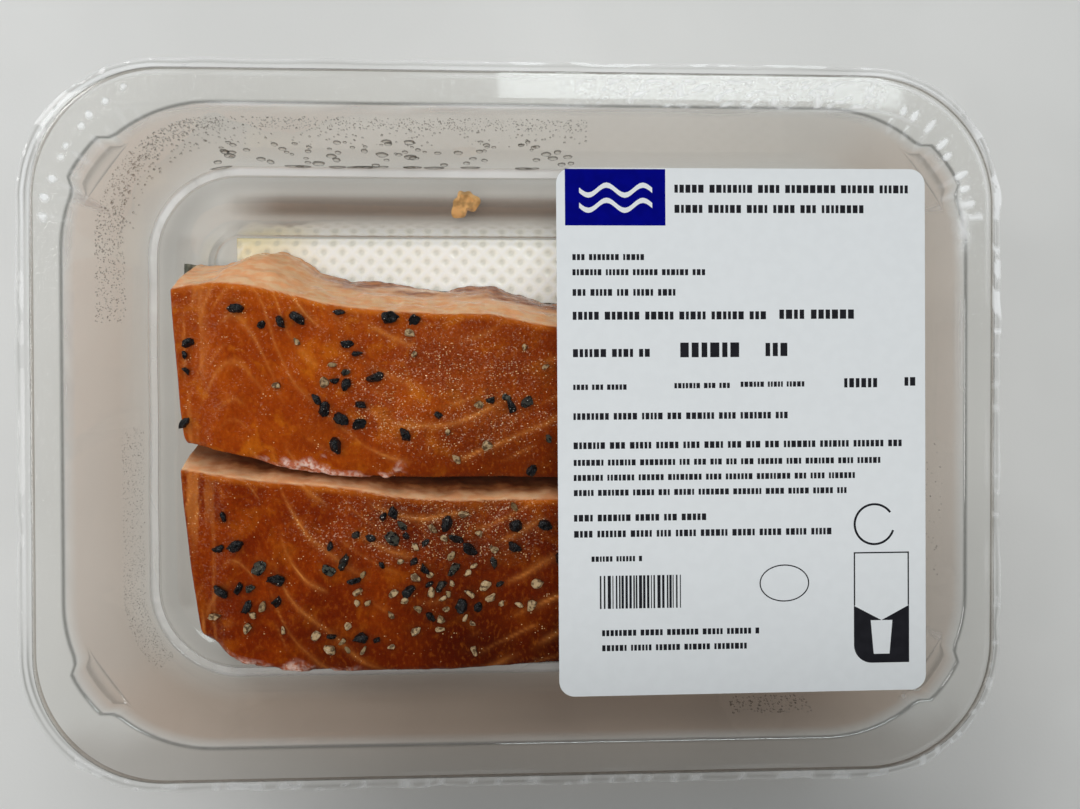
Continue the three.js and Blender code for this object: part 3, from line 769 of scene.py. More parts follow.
def film_edge_shade(points, inset):
    """Painted dark shade in lines along the hem, stronger round the corners."""
    corner = smoothstep(np.abs(points[:, 0]), 58, 72) * smoothstep(np.abs(points[:, 1]), 28, 45)
    wave = 0.7 + 0.5 * noise(points, 12.0, 53)
    lines = bell(inset, 0.2, 0.7) + bell(inset, 0.22, 2.1) * (0.4 + 0.6 * corner)
    return np.clip(lines * wave * (0.35 + 0.35 * corner), 0, 1)


def build_film():
    length, width = FILM_LENGTH / 2 - FILM_MARGIN, FILM_WIDTH / 2 - FILM_MARGIN
    rings = [
        rounded_ring(
            length - inset, width - inset, max(FILM_RADIUS - inset, FILM_SMALLEST_RADIUS), 0,
            angles=corner_angles(FILM_CORNER_STEP), center=(0, 0), side_points=FILM_SIDE_POINTS,
        )
        for inset in FILM_INSETS
    ]
    rings = np.array(rings + [rings[-1] * share for share in FILM_INNER_SHARES])
    count = rings.shape[1]
    points = rings.reshape(-1, 3)
    inset = np.repeat([*FILM_INSETS, *[FILM_CENTER_DEPTH] * len(FILM_INNER_SHARES)], count)
    hem = 1 - smoothstep(inset, 0, 2.0)
    outward = points[:, :2] / np.linalg.norm(points[:, :2], axis=1, keepdims=True)
    points[:, :2] += outward * (0.3 * hem * noise(points, 5.0, 47))[:, None]
    points[:, 2] = film_height(points, inset)
    points = np.vstack([points, points[-count:].mean(0)])
    inset = np.append(inset, FILM_CENTER_DEPTH)
    masks = {"seal": film_seal(inset), "edge_shade": film_edge_shade(points, inset), "gleam": film_gleam(points, inset)}
    faces = ring_faces(len(rings), count, first_cap=False)
    make_piece("film_lid", points, faces, FILM_PLASTIC, ["film"], masks=masks)


# The pad

PAD_STEP, PAD_MARGIN = 0.42, 1.2
PAD_BOTTOM = FLOOR_TOP + 0.03
PAD_SAG, PAD_EDGE_FALL, PAD_EDGE = 0.07, 0.75, 2.0
SWELL, SWELL_LIMIT, SWELL_SIZE = 0.06, 0.05, 9.0
RIDGE_HEIGHT, RIDGE_WIDTH = 0.07, 0.16
DIMPLE_DEPTH, DIMPLE_RADIUS, DIMPLE_SHADE, DIMPLE_MIDDLE = 0.26, 0.78, 0.72, 0.32


def build_pad():
    """A slab with rows of dimples between crossing ridges on its top, and thin edges."""
    columns, rows = int(PAD_LENGTH / PAD_STEP) + 1, int(PAD_WIDTH / PAD_STEP) + 1
    x = np.linspace(-PAD_LENGTH / 2, PAD_LENGTH / 2, columns)
    y = np.linspace(-PAD_WIDTH / 2, PAD_WIDTH / 2, rows)
    gx, gy = (g.ravel() for g in np.meshgrid(x, y))
    down = PAD_WIDTH / 2 - PAD_MARGIN - gy
    row = np.round(down / DIMPLE_ROW)
    offset = np.where(row % 2 == 0, 0.0, 0.5) * DIMPLE_PITCH
    column = np.round((gx - offset) / DIMPLE_PITCH)
    far = np.hypot(gx - offset - column * DIMPLE_PITCH, down - row * DIMPLE_ROW)
    slants = [np.mod(gx / DIMPLE_PITCH + turn * down / (2 * DIMPLE_ROW), 1.0) - 0.5 for turn in (-1, 1)]
    ridge = np.max([bell(slant, RIDGE_WIDTH) for slant in slants], axis=0)
    edge = np.minimum(PAD_LENGTH / 2 - np.abs(gx), PAD_WIDTH / 2 - np.abs(gy))
    rise = 1.0 - PAD_EDGE_FALL * (1 - smoothstep(edge, 0, PAD_EDGE))
    swell = np.minimum(SWELL * fractal(np.stack([gx, gy, 0 * gx], 1), SWELL_SIZE, 61), SWELL_LIMIT)
    relief = swell + RIDGE_HEIGHT * (ridge - 1) - DIMPLE_DEPTH * bell(far, DIMPLE_RADIUS)
    top = FLOOR_TOP - PAD_SAG + rise * (PAD_TOP - FLOOR_TOP + relief)
    upper = np.stack([gx + TRAY_X, gy, top], 1)
    loop = np.concatenate([
        np.arange(columns - 1),
        np.arange(rows - 1) * columns + columns - 1,
        rows * columns - 1 - np.arange(columns - 1),
        (rows - 1 - np.arange(rows - 1)) * columns,
    ])
    lower = upper[loop] * [1, 1, 0] + [0, 0, PAD_BOTTOM]
    below = len(upper) + np.arange(len(loop))
    sides = np.stack([below, np.roll(below, -1), np.roll(loop, -1), loop], 1).tolist()
    faces = grid_faces(rows, columns) + sides + [below[::-1].tolist()]
    # Painted shade in the dimples, lighter in their middles, with the perforations' own grey; painted
    # highlight on the ridges.
    dimple = bell(far, DIMPLE_SHADE, power=4) * (1 - 0.45 * bell(far, DIMPLE_MIDDLE))
    plain = np.zeros(len(loop))
    masks = {"dimple": np.append(dimple, plain), "ridge": np.append(ridge * (1 - dimple), plain)}
    make_piece("absorbent_pad", np.vstack([upper, lower]), faces, PAD_COVER, ["pad"], masks=masks)


# The salmon: each portion's ends, its height, how far its sides slant out below and its left end
# leans, its seed, how much painted shade darkens its cut in the gap between the portions, its wet
# patch as middle and reach, its albumin as start, end and spread, its long edges, and where and how
# far its far side is ragged.

PORTIONS = {
    "back": {
        "left": -72.0, "right": 52.0, "top": 25.2, "slant": 7.6, "skew": 2.8, "seed": 11, "cut_shade": 0.0,
        "wet": (-14, 6, 24, 13),
        "albumin": (-53, -24, 2.4),
        "back_edge": line_through([
            (-72, 28), (-64.5, 29), (-35, 24), (-19, 22.9), (-7, 22.7), (4, 20.5), (52, 16),
        ]),
        "front_edge": line_through([(-72, -3.8), (-58.7, -6.3), (-47.6, -8.8), (7, -11.3), (52, -13)]),
        "ragged": (-65.0, -46.0, 2.6),
    },
    "front": {
        "left": -70.0, "right": 48.0, "top": 26.0, "slant": 8.0, "skew": 4.2, "seed": 23, "cut_shade": 1.0,
        "wet": (-16, -21, 30, 8),
        "albumin": (-60, -36, 1.5),
        "back_edge": line_through([
            (-70, -9.2), (-53.4, -11.5), (-38, -12.9), (-25, -15), (7, -15.6), (48, -17),
        ]),
        "front_edge": line_through([(-70, -43.6), (-58, -48.4), (-31.4, -50.8), (7, -49.6), (48, -46)]),
        "ragged": (0.0, 1.0, 0.0),
    },
}
STATIONS, AROUND = 300, 260
CLOSING_SHARES = [0.985, 0.96, 0.92, 0.85, 0.75, 0.62, 0.48, 0.34, 0.2, 0.08]
SKIN_THICKNESS = 1.0
SKIN_CURL_START, SKIN_CURL = -66.0, 0.09
SKIN_BEFORE, SKIN_BEYOND, SKIN_FRONT_INSET, SKIN_BACK_INSET = 2.9, 0.6, 0.4, 0.3
SKIN_CURL_STEPS, SKIN_STEPS, SKIN_ACROSS = 26, 120, 24
LEFT_FADE = 12.0


def skin_lift(x):
    return SKIN_CURL * np.maximum(SKIN_CURL_START - x, 0) ** 2


def wave_relief(portion, x, y):
    p = portion["seed"]
    return 0.3 * (
        0.5 * np.sin(0.31 * x + 0.22 * y + p)
        + 0.3 * np.sin(0.63 * x - 0.41 * y + 2 * p)
        + 0.2 * np.sin(1.1 * x + 0.9 * y + 3 * p)
    )


def top_height(portion, x, y):
    back, front = portion["back_edge"](x), portion["front_edge"](x)
    across = (2 * y - back - front) / (back - front)
    crown = 0.7 * across ** 4
    left_fall = 1.6 * (1 - smoothstep(x, portion["left"], portion["left"] + LEFT_FADE))
    right_fall = 2.2 * smoothstep(x, portion["right"] - LEFT_FADE, portion["right"])
    return portion["top"] - crown - left_fall - right_fall + wave_relief(portion, x, y)


def slice_outline(portion, x):
    """Corner points of the slices at x, as (stations, points, 2)."""
    back, front = portion["back_edge"](x), portion["front_edge"](x)
    slant = portion["slant"]
    under = PAD_TOP + SKIN_THICKNESS + 1.3 * skin_lift(x) + 0.02
    low, high, reach = portion["ragged"]
    ragged = np.maximum(0, 1 - ((x - (low + high) / 2) / ((high - low) / 2)) ** 2) * reach
    wave = wave_relief(portion, 2.1 * x, 40.0)
    along = np.column_stack([x, np.full_like(x, portion["seed"]), np.zeros_like(x)])
    torn = 0.7 * fractal(along, 6.0, 91)
    top_back = top_height(portion, x, back)
    top_front = top_height(portion, x, front) - 1.0
    corners = [
        (lerp(front, back, 0.5) + slant, under),
        (back + slant + ragged + torn - 0.8, under),
        (back + slant + ragged + torn, under + 0.8),
        (back + 0.74 * slant + ragged + wave, lerp(under, top_back, 0.35)),
        (back + 0.34 * slant + 0.5 * ragged - wave, lerp(under, top_back, 0.72)),
        (back + 0.25, top_back - 0.7),
        (back, top_back - 0.15),
    ]
    for t in np.linspace(0, 1, 9):
        y = lerp(back - 0.5, front + 1.1, t)
        corners.append((y, top_height(portion, x, y)))
    corners += [
        (front - 0.05, top_front - 0.2),
        (front + 0.28 * slant + wave, lerp(top_front, under, 0.3)),
        (front + 0.7 * slant, lerp(top_front, under, 0.7)),
        (front + slant, under + 0.8),
        (front + slant + 0.8, under),
    ]
    return np.stack([np.stack(np.broadcast_arrays(y, z), -1) for y, z in corners], 1)


def resampled(outline, count, fine=12, tension=0.3):
    """Evenly spaced points on a smooth closed curve through each slice's corner points."""
    stations, corners, _ = outline.shape
    t = np.linspace(0, 1, fine, endpoint=False)[None, None, :, None]
    p0, p1, p2, p3 = (np.roll(outline, shift, 1)[:, :, None, :] for shift in (1, 0, -1, -2))
    curve = hermite(p1, p2, tension * (p2 - p0), tension * (p3 - p1), t).reshape(stations, corners * fine, 2)
    closed = np.concatenate([curve, curve[:, :1]], 1)
    steps = np.linalg.norm(np.diff(closed, axis=1), axis=2)
    length = np.concatenate([np.zeros((stations, 1)), np.cumsum(steps, 1)], 1)
    out = np.empty((stations, count, 2))
    for i in range(stations):
        want = np.linspace(0, length[i, -1], count, endpoint=False)
        for axis in (0, 1):
            out[i, :, axis] = np.interp(want, length[i], closed[i, :, axis])
    return out


def closing(ring, direction):
    """Smaller and smaller copies of an end slice, bulging a little along x."""
    middle = ring.mean(0)
    out = []
    for share in CLOSING_SHARES:
        copy = middle + (ring - middle) * share
        copy[:, 0] = lerp(ring[:, 0], middle[0], 1 - share)
        copy[:, 0] += direction * 0.9 * math.sqrt(1 - share ** 6)
        out.append(copy)
    return out


def build_salmon(side):
    portion = PORTIONS[side]
    left = portion["left"]
    x = np.linspace(left, portion["right"], STATIONS)
    y, z = np.moveaxis(resampled(slice_outline(portion, x), AROUND), 2, 0)
    back, front = portion["back_edge"](x)[:, None], portion["front_edge"](x)[:, None]
    toward_front = np.clip((back - y) / (back - front), 0, 1)
    skew = portion["skew"] * (1 - smoothstep(x, left, left + LEFT_FADE))[:, None]
    rings = np.dstack([x[:, None] + skew * toward_front, y, z])
    rings = np.concatenate([closing(rings[0], -1)[::-1], rings, closing(rings[-1], 1)])
    points = rings.reshape(-1, 3)
    masks = salmon_masks(portion, points)

    # Relief: soft lumps everywhere, torn flakes on the cuts, thick albumin at the front edge.
    outward = points - np.repeat(rings.mean(1), AROUND, 0)
    outward[:, 0] *= 0.2
    outward /= np.linalg.norm(outward, axis=1, keepdims=True)
    stretched = points * [0.6, 1.0, 1.0]
    relief = 0.12 * noise(points, 5.0, 72) + 0.05 * fractal(points, 1.4, 73) - 0.1 * masks["fat"]
    flakes = 0.24 * noise(stretched, 3.2, 74) + 0.04 * fractal(stretched, 1.2, 75)
    push = relief + (1 - masks["crust"]) * flakes + 0.5 * masks["albumin"]
    push *= smoothstep(points[:, 2], PAD_TOP + 1.1, PAD_TOP + 3.0)
    points = points + outward * push[:, None]

    placed = with_middles(points.reshape(rings.shape)) + [TRAY_X, 0, 0]
    masks = {name: np.append(values, [0, 0]) for name, values in masks.items()}
    faces = ring_faces(len(rings), AROUND)
    make_piece(
        "salmon_" + side + "_meat", placed, faces, SALMON[side], ["salmon_" + side], masks=masks
    )


# The pale fat lines are arches: x along the portion and the arch's height there.
FAT_ARCH = line_through([
    (-75.0, -34.0), (-70.0, -22.0), (-66.0, -10.0), (-62.0, -2.0), (-58.5, 0.0), (-54.0, -5.0),
    (-48.0, -19.5), (-39.0, -29.0), (-28.0, -37.0), (-20.0, -39.5), (-4.0, -35.0), (8.0, -29.0),
    (30.0, -20.0), (60.0, -16.0),
])
FAT_SPACING = 8.4


def fat_mask(portion, points):
    """Arched fat lines, a broad soft one and a sharp one each, with fainter ones half way
    between, and thin streaks down the left end."""
    x, y, _ = points.T
    warp = 1.6 * noise(points, 15.0, 93) + 0.5 * noise(points, 4.0, 94)
    flow = (y - FAT_ARCH(x) + warp + portion["seed"]) / FAT_SPACING
    off = np.abs(flow - np.round(flow)) * FAT_SPACING
    half = np.abs(flow + 0.5 - np.round(flow + 0.5)) * FAT_SPACING
    broken = smoothstep(noise(points, 9.0, 95), -0.35, 0.5)
    faint = smoothstep(noise(points, 7.0, 96), 0.0, 0.6)
    bright = smoothstep(noise(points, 5.0, 88), 0.0, 0.6)
    fat = broken * (0.26 * bell(off, 0.9) + (0.2 + 0.45 * bright) * bell(off, 0.24))
    fat = fat + faint * (0.12 * bell(half, 0.7) + 0.3 * bell(half, 0.2))
    streaks = smoothstep(noise(np.column_stack([x, 0.06 * y, 0 * x]), 0.9, 97), 0.1, 0.7)
    left_end = 1 - smoothstep(x - portion["left"], 4, 9)
    return np.clip(fat + 0.45 * streaks * left_end, 0, 1)


def brown_mask(portion, points, down, share):
    """The brown of the cut sides, by how far down them a point is and how near their front: partly the cut's
    own brown patches, partly painted shade that darkens down the cut.
    """
    x = points[:, 0]
    patches = smoothstep(noise(points * [0.5, 1, 1], 4.0, 90), -0.3, 0.4)
    brown = smoothstep(down, 0.35, 0.6) * np.clip(0.25 + patches, 0, 1) * smoothstep(x, -52.0, -38.0)
    brown = np.clip(brown + 0.8 * smoothstep(down, 0.3, 0.8) * smoothstep(x, -22.0, -8.0), 0, 1)
    brown = np.maximum(brown, 0.75 * smoothstep(down, 0.25, 0.6) * (share > 0.5))
    # Painted shade browns nearly all of the front portion's cut, which faces the gap.
    return np.maximum(brown, portion["cut_shade"] * smoothstep(x, -73, -56) * smoothstep(down, 0.0, 0.2))


def salmon_masks(portion, points):
    """Where each colour of the meat goes, from 0 to 1 at each point."""
    x, y, z = points.T
    back, front = portion["back_edge"](x), portion["front_edge"](x)
    height = top_height(portion, x, y)
    share = np.clip((back - y) / (back - front), 0, 1)
    down = np.clip((height - z) / (height - PAD_TOP), 0, 1)
    crust = smoothstep(z - height, -1.5, -0.9) * (1 - smoothstep(y - back, -0.25, 0.1))
    crust = np.maximum(crust, smoothstep(z - height, -3.5, -1.5) * (share > 0.5))
    rim = 0.7 * crust * (1 - smoothstep(back - y, 0.3, 1.8)) * (0.5 + 0.5 * noise(points, 4.0, 92))

    # Painted shade, darker towards the right and towards the front, with random mottling, lifted a little at
    # the golden patch on the left.
    right = smoothstep(x, -45.0, 10.0)
    low = smoothstep(share, 0.45, 1.0)
    shade_and_mottle = 0.45 * right + 0.65 * low * (0.35 + 0.65 * right) + 0.3 * fractal(points, 14.0, 98)
    golden = bell(x, 9.0, -53) * bell(share, 0.3, 0.45)
    shade_and_mottle = 0.85 * np.clip(np.clip(shade_and_mottle, 0, 1) - 0.5 * golden, 0, 1)

    low_x, high_x, spread = portion["albumin"]
    lumps = smoothstep(fractal(points * [0.6, 1, 1], 1.9, 71), -0.35, 0.3)
    zone = band(x, low_x - 3, low_x + 3, high_x - 5, high_x + 5)
    reach = spread * (0.35 + 1.9 * smoothstep(noise(points * [1, 0.4, 0.4], 4.2, 99), -0.2, 0.7))
    at_front = (1 - smoothstep(y - front, 0.5 * reach, reach)) * (z > 12)

    middle_x, middle_y, reach_x, reach_y = portion["wet"]
    shine = bell(((x - middle_x) / reach_x) ** 2 + ((y - middle_y) / reach_y) ** 2, 1)
    shine = shine * (0.7 + 0.5 * fractal(points, 6.0, 89)) + 0.12

    # Darker round each pepper chip.
    stain = np.zeros(len(x))
    for chip in PEPPER_CHIPS:
        if chip["portion"] is portion:
            far = np.hypot(x - chip["x"], y - chip["y"])
            stain = np.maximum(stain, bell(far, 1.15 * chip["size"]))
    return {
        "crust": crust,
        "rim": np.clip(rim, 0, 1),
        "fat": fat_mask(portion, points),
        "shade_and_mottle": shade_and_mottle,
        "albumin": np.clip(at_front * lumps * zone, 0, 1),
        "brown": brown_mask(portion, points, down, share),
        "stain": stain * crust,
        "wet": np.clip(shine, 0, 1),
        # Painted shadow in the gap between the portions, on the front portion's cut.
        "gap": portion["cut_shade"] * smoothstep(down, 0.0, 0.34) * (0.8 + 0.2 * smoothstep(x, -66, -50)),
    }


def build_skin(side):
    """The skin under a portion: a sheet with ragged edges whose left end curls up."""
    portion = PORTIONS[side]
    start, stop = portion["left"] - SKIN_BEFORE, portion["right"] + SKIN_BEYOND
    curl = np.linspace(start, SKIN_CURL_START, SKIN_CURL_STEPS)
    x = np.concatenate([curl, np.linspace(SKIN_CURL_START, stop, SKIN_STEPS)[1:]])
    slope = -2 * SKIN_CURL * np.maximum(SKIN_CURL_START - x, 0)
    lean = np.hypot(1, slope)
    ragged = np.column_stack([x, 0 * x, 0 * x])
    front = portion["front_edge"](x) + portion["slant"] - SKIN_FRONT_INSET + 0.3 * noise(ragged, 4.0, 81)
    back = portion["back_edge"](x) + portion["slant"] - SKIN_BACK_INSET + 0.3 * noise(ragged, 4.0, 82)
    y = lerp(front[:, None], back[:, None], np.linspace(0, 1, SKIN_ACROSS))
    z = PAD_TOP + skin_lift(x)
    lower = np.stack(np.broadcast_arrays(x[:, None], y, z[:, None]), 2)
    thickness = 0.9 * SKIN_THICKNESS
    upper = lower + thickness * (np.column_stack([-slope, 0 * x, 0 * x + 1]) / lean[:, None])[:, None]
    rings = np.concatenate([lower, upper[:, ::-1]], 1)
    placed = with_middles(rings) + [TRAY_X, 0, 0]
    faces = ring_faces(len(rings), rings.shape[1])
    make_piece("skin_" + side + "_sheet", placed, faces, SKIN, ["skin_" + side])


# Pepper: for each portion and colour, patches as centre, spread and count.

PEPPER_PATCHES = {
    "back": {
        "black": [(-36, 4, 4, 8, 11), (-55, 22, 12, 4, 5), (-30, 20, 8, 3, 3), (-6, 0, 12, 9, 8),
                  (-69, 16, 1, 9, 4)],
        "beige": [(-8, 12, 12, 6, 8), (-40, 14, 6, 6, 4), (-14, -6, 8, 4, 3)],
    },
    "front": {
        "black": [(-30, -23, 5, 5, 13), (-17, -27, 5, 4, 9), (-57, -34, 4, 7, 8), (-63, -24, 2, 8, 2),
                  (-10, -38, 7, 5, 5), (-33, -44, 3, 1, 3), (-3, -21, 8, 3, 4)],
        "beige": [(-14, -32, 10, 8, 32), (-28, -36, 8, 5, 9), (-36, -44, 8, 1.5, 6), (-56, -41, 6, 4, 4)],
    },
}
PEPPER_DRAWS = 12
CHIP_SPREAD, CHIP_SPACING = 0.8, 0.9
CHIP_MARGIN, CHIP_RIGHT_MARGIN = 1.5, 4
# Each colour's seed, smallest and largest size, fewest and most flats, and how crumpled it is.
PEPPER_KINDS = {"black": (5, 0.8, 1.6, 3, 6, 0.17), "beige": (6, 0.7, 1.3, 5, 9, 0.07)}


def draw_chip(rng, portion, color, patch):
    """One corn, somewhere in its patch and on the portion."""
    px, py, spread_x, spread_y, _ = patch
    _, smallest, largest, *_ = PEPPER_KINDS[color]
    x = px + rng.normal() * spread_x * CHIP_SPREAD
    x = float(np.clip(x, portion["left"] + CHIP_MARGIN, portion["right"] - CHIP_RIGHT_MARGIN))
    y = py + rng.normal() * spread_y * CHIP_SPREAD
    y = float(np.clip(y, portion["front_edge"](x) + CHIP_MARGIN, portion["back_edge"](x) - CHIP_MARGIN))
    return {"portion": portion, "color": color, "x": x, "y": y, "size": rng.uniform(smallest, largest)}


def touches(one, other):
    reach = CHIP_SPACING * (one["size"] + other["size"])
    return math.hypot(one["x"] - other["x"], one["y"] - other["y"]) <= reach


def plan_pepper():
    """Places and sizes, drawn in turn for each patch, and drawn again where two would touch."""
    rng = np.random.default_rng(CHIP_SEED)
    chips = []
    plan = [
        (PORTIONS[side], color, patch)
        for side, colors in PEPPER_PATCHES.items() for color, patches in colors.items() for patch in patches
        for _ in range(patch[4])
    ]
    for portion, color, patch in plan:
        for _ in range(PEPPER_DRAWS):
            chip = draw_chip(rng, portion, color, patch)
            if not any(touches(chip, other) for other in chips):
                break
        chips.append(chip)
    return chips


PEPPER_CHIPS = plan_pepper()


def icosphere(levels):
    bm = bmesh.new()
    bmesh.ops.create_icosphere(bm, subdivisions=levels, radius=1.0)
    points = np.array([v.co for v in bm.verts])
    faces = np.array([[v.index for v in f.verts] for f in bm.faces])
    bm.free()
    return points, faces


BALL, BALL_FACES = icosphere(4)


def build_pepper(color):
    """Crushed corns, each a wrinkled lump with a few broken flats."""
    seed, _, _, fewest, most, crumple = PEPPER_KINDS[color]
    rng = np.random.default_rng(seed)
    points, faces, tones = [], [], []
    for chip in PEPPER_CHIPS:
        if chip["color"] != color:
            continue
        shape = BALL * (1 + 0.12 * noise(BALL + 10 * rng.random(3), 0.7, 51)[:, None])
        for _ in range(rng.integers(fewest, most)):
            flat = rng.standard_normal(3)
            flat /= np.linalg.norm(flat)
            over = np.maximum(shape @ flat - rng.uniform(0.35, 0.8), 0)
            shape = shape - 0.92 * over[:, None] * flat
        wrinkle = fractal(BALL + 10 * rng.random(3), 0.42, 52, octaves=2)
        shape *= 1 + crumple * wrinkle[:, None]
        spin = Matrix.Rotation(rng.uniform(0, math.tau), 3, "Z")
        turn = spin @ Matrix.Rotation(rng.uniform(-0.6, 0.6), 3, "X")
        shape = (shape * [1.15, rng.uniform(0.6, 0.95), rng.uniform(0.6, 0.8)]) @ np.array(turn).T
        ground = float(top_height(chip["portion"], chip["x"], chip["y"]))
        faces.append(BALL_FACES + len(points) * len(BALL))
        points.append(shape * chip["size"] + [chip["x"], chip["y"], ground + 0.25 * chip["size"]])
        tones.append(np.full(len(shape), rng.random()))
    placed = np.vstack(points) + [TRAY_X, 0, 0]
    masks = {"tone": np.concatenate(tones)}
    make_piece("pepper_" + color, placed, np.vstack(faces), PEPPER[color], masks=masks)


# The label and its print

def label_point(u, v):
    """Part coordinates of a point on the label, u to the right and v up from its lower left corner."""
    x, y = u - LABEL_WIDTH / 2, v - LABEL_HEIGHT / 2
    c, s = math.cos(LABEL_TURN), math.sin(LABEL_TURN)
    return LABEL_CENTER[0] + c * x - s * y, LABEL_CENTER[1] + s * x + c * y


def build_label():
    hx, hy = LABEL_WIDTH / 2, LABEL_HEIGHT / 2
    ring = rounded_ring(hx, hy, LABEL_RADIUS, 0.0, angles=corner_angles(10), center=(0, 0), side_points=20)
    flat = np.array([label_point(p[0] + hx, p[1] + hy) for p in ring])
    rings = np.array([np.column_stack([flat, np.full(len(flat), z)]) for z in (LABEL_BOTTOM, LABEL_TOP)])
    faces = ring_faces(2, len(flat))
    make_piece("label_paper", with_middles(rings), faces, PAPER, ["label"], smooth=False)


class Print:
    """Flat printed shapes, gathered into one mesh for each ink."""

    def __init__(self, name, material, lift):
        self.name, self.material, self.z = name, material, LABEL_TOP + lift
        self.points, self.faces = [], []

    def polygon(self, outline):
        start = len(self.points)
        self.points += [(*label_point(u, v), self.z) for u, v in outline]
        self.faces.append(list(range(start, start + len(outline))))

    def block(self, u0, v0, u1, v1):
        self.polygon([(u0, v0), (u1, v0), (u1, v1), (u0, v1)])

    def ring(self, u, v, rx, ry, width, steps=48, start=0.0, stop=1.0):
        turns = [math.tau * lerp(start, stop, t / steps) for t in range(steps + 1)]
        outer, inner = (
            [(u + (rx - k) * math.cos(a), v + (ry - k) * math.sin(a)) for a in turns] for k in (0, width)
        )
        for i in range(steps):
            self.polygon([inner[i], outer[i], outer[i + 1], inner[i + 1]])

    def build(self):
        make_piece(self.name, self.points, self.faces, self.material, smooth=False)


# Places on the label are the photo's pixels, x to the right and y down.
PX = LABEL_WIDTH / 367.5
PX_HIGH = LABEL_HEIGHT / 525.0
LABEL_LEFT_PX, LABEL_BOTTOM_PX = 557.5, 693.0
PRINT_LIFT, MARK_LIFT = 0.008, 0.02
PANEL_LEFT, PANEL_RIGHT, PANEL_TOP, PANEL_BOTTOM = 566, 665, 169, 225
WAVE_LEFT, WAVE_RIGHT, WAVE_ROWS, WAVE_SIZE, WAVE_TURN = 580, 652, (190, 205), 5, 0.175
WAVE_HALF = 0.5
# Rows of blocks: left end, right end, middle and size.
TEXT_ROWS = [
    (674, 915, 188, 12), (674, 871, 208, 12), (573, 645, 256, 9), (573, 706, 271, 9), (573, 675, 291, 10),
    (573, 765, 314, 12), (778, 856, 313, 14), (573, 650, 351, 12), (679, 745, 348, 22), (764, 790, 348, 20),
    (573, 627, 385, 8), (673, 730, 384, 8), (739, 805, 383, 8), (843, 882, 382, 14), (904, 915, 381, 13),
    (573, 786, 414, 10), (573, 901, 443, 10), (573, 886, 460, 9), (573, 860, 475, 9), (573, 848, 490, 9),
    (573, 706, 515, 10), (573, 833, 531, 10), (590, 643, 556, 8), (600, 760, 630, 9), (600, 745, 645, 9),
]
# How many blocks a word has, and shares of a row's size: how wide its blocks are, how tall, how far
# they drop below the middle, and the gaps between them and after a word.
WORD_BLOCKS, BLOCK_WIDTHS = (3, 9), (0.22, 0.46)
BLOCK_HEIGHT, BLOCK_DROP, BLOCK_GAP, WORD_GAP = 0.66, 0.36, 0.13, 0.36
ROW_END = 0.2
BARS_LEFT, BARS_RIGHT, BARS_TOP, BARS_BOTTOM = 598.0, 680, 573, 606
BAR_WIDTHS, BAR_GAPS = [1.0, 1.6, 2.4, 3.2], [0.9, 1.5, 2.3]
BOX_LEFT, BOX_RIGHT, BOX_TOP, BOX_SPLIT, BOX_NOTCH, BOX_BOTTOM = 852, 908, 553, 607, 622, 665
BOX_LINE, BOX_CORNER = 1.4, 18
OVAL_X, OVAL_Y, OVAL_WIDE, OVAL_HIGH, OVAL_LINE = 782, 583, 25, 18.5, 1.2
RING_X, RING_Y, RING_SIZE, RING_LINE, RING_START, RING_STOP = 873, 525, 21, 2.2, 0.1, 0.95
CUP_TOP_HALF, CUP_LOW_HALF, CUP_BOTTOM = 11, 8, 656


def label_u(px):
    return (px - LABEL_LEFT_PX) * PX


def label_v(py):
    return (LABEL_BOTTOM_PX - py) * PX_HIGH


def text_row(ink, rng, x0, x1, y, size):
    """A row of small upright blocks in word-like groups, from x0 to x1."""
    u, end = label_u(x0), label_u(x1)
    height = size * PX
    low = label_v(y) - BLOCK_DROP * height
    while u < end - ROW_END:
        for _ in range(rng.integers(*WORD_BLOCKS)):
            width = height * rng.uniform(*BLOCK_WIDTHS)
            if u + width > end:
                break
            ink.block(u, low, u + width, low + BLOCK_HEIGHT * height)
            u += width + BLOCK_GAP * height
        u += WORD_GAP * height


def bar_field(ink, rng):
    """Upright bars of mixed widths, side by side."""
    x = BARS_LEFT
    while x < BARS_RIGHT - 1:
        width = rng.choice(BAR_WIDTHS)
        ink.block(label_u(x), label_v(BARS_BOTTOM), label_u(min(x + width, BARS_RIGHT)), label_v(BARS_TOP))
        x += width + rng.choice(BAR_GAPS)


def wave_panel(blue, white):
    """A blue panel with two wavy lines."""
    blue.block(label_u(PANEL_LEFT), label_v(PANEL_BOTTOM), label_u(PANEL_RIGHT), label_v(PANEL_TOP))
    for row in WAVE_ROWS:
        steps = np.linspace(WAVE_LEFT, WAVE_RIGHT, 25)
        heights = row + WAVE_SIZE * np.sin(WAVE_TURN * (steps - WAVE_LEFT))
        crest = [(label_u(x), label_v(y)) for x, y in zip(steps, heights)]
        for (u0, v0), (u1, v1) in zip(crest[:-1], crest[1:]):
            low, high = -WAVE_HALF, WAVE_HALF
            white.polygon([(u0, v0 + low), (u1, v1 + low), (u1, v1 + high), (u0, v0 + high)])


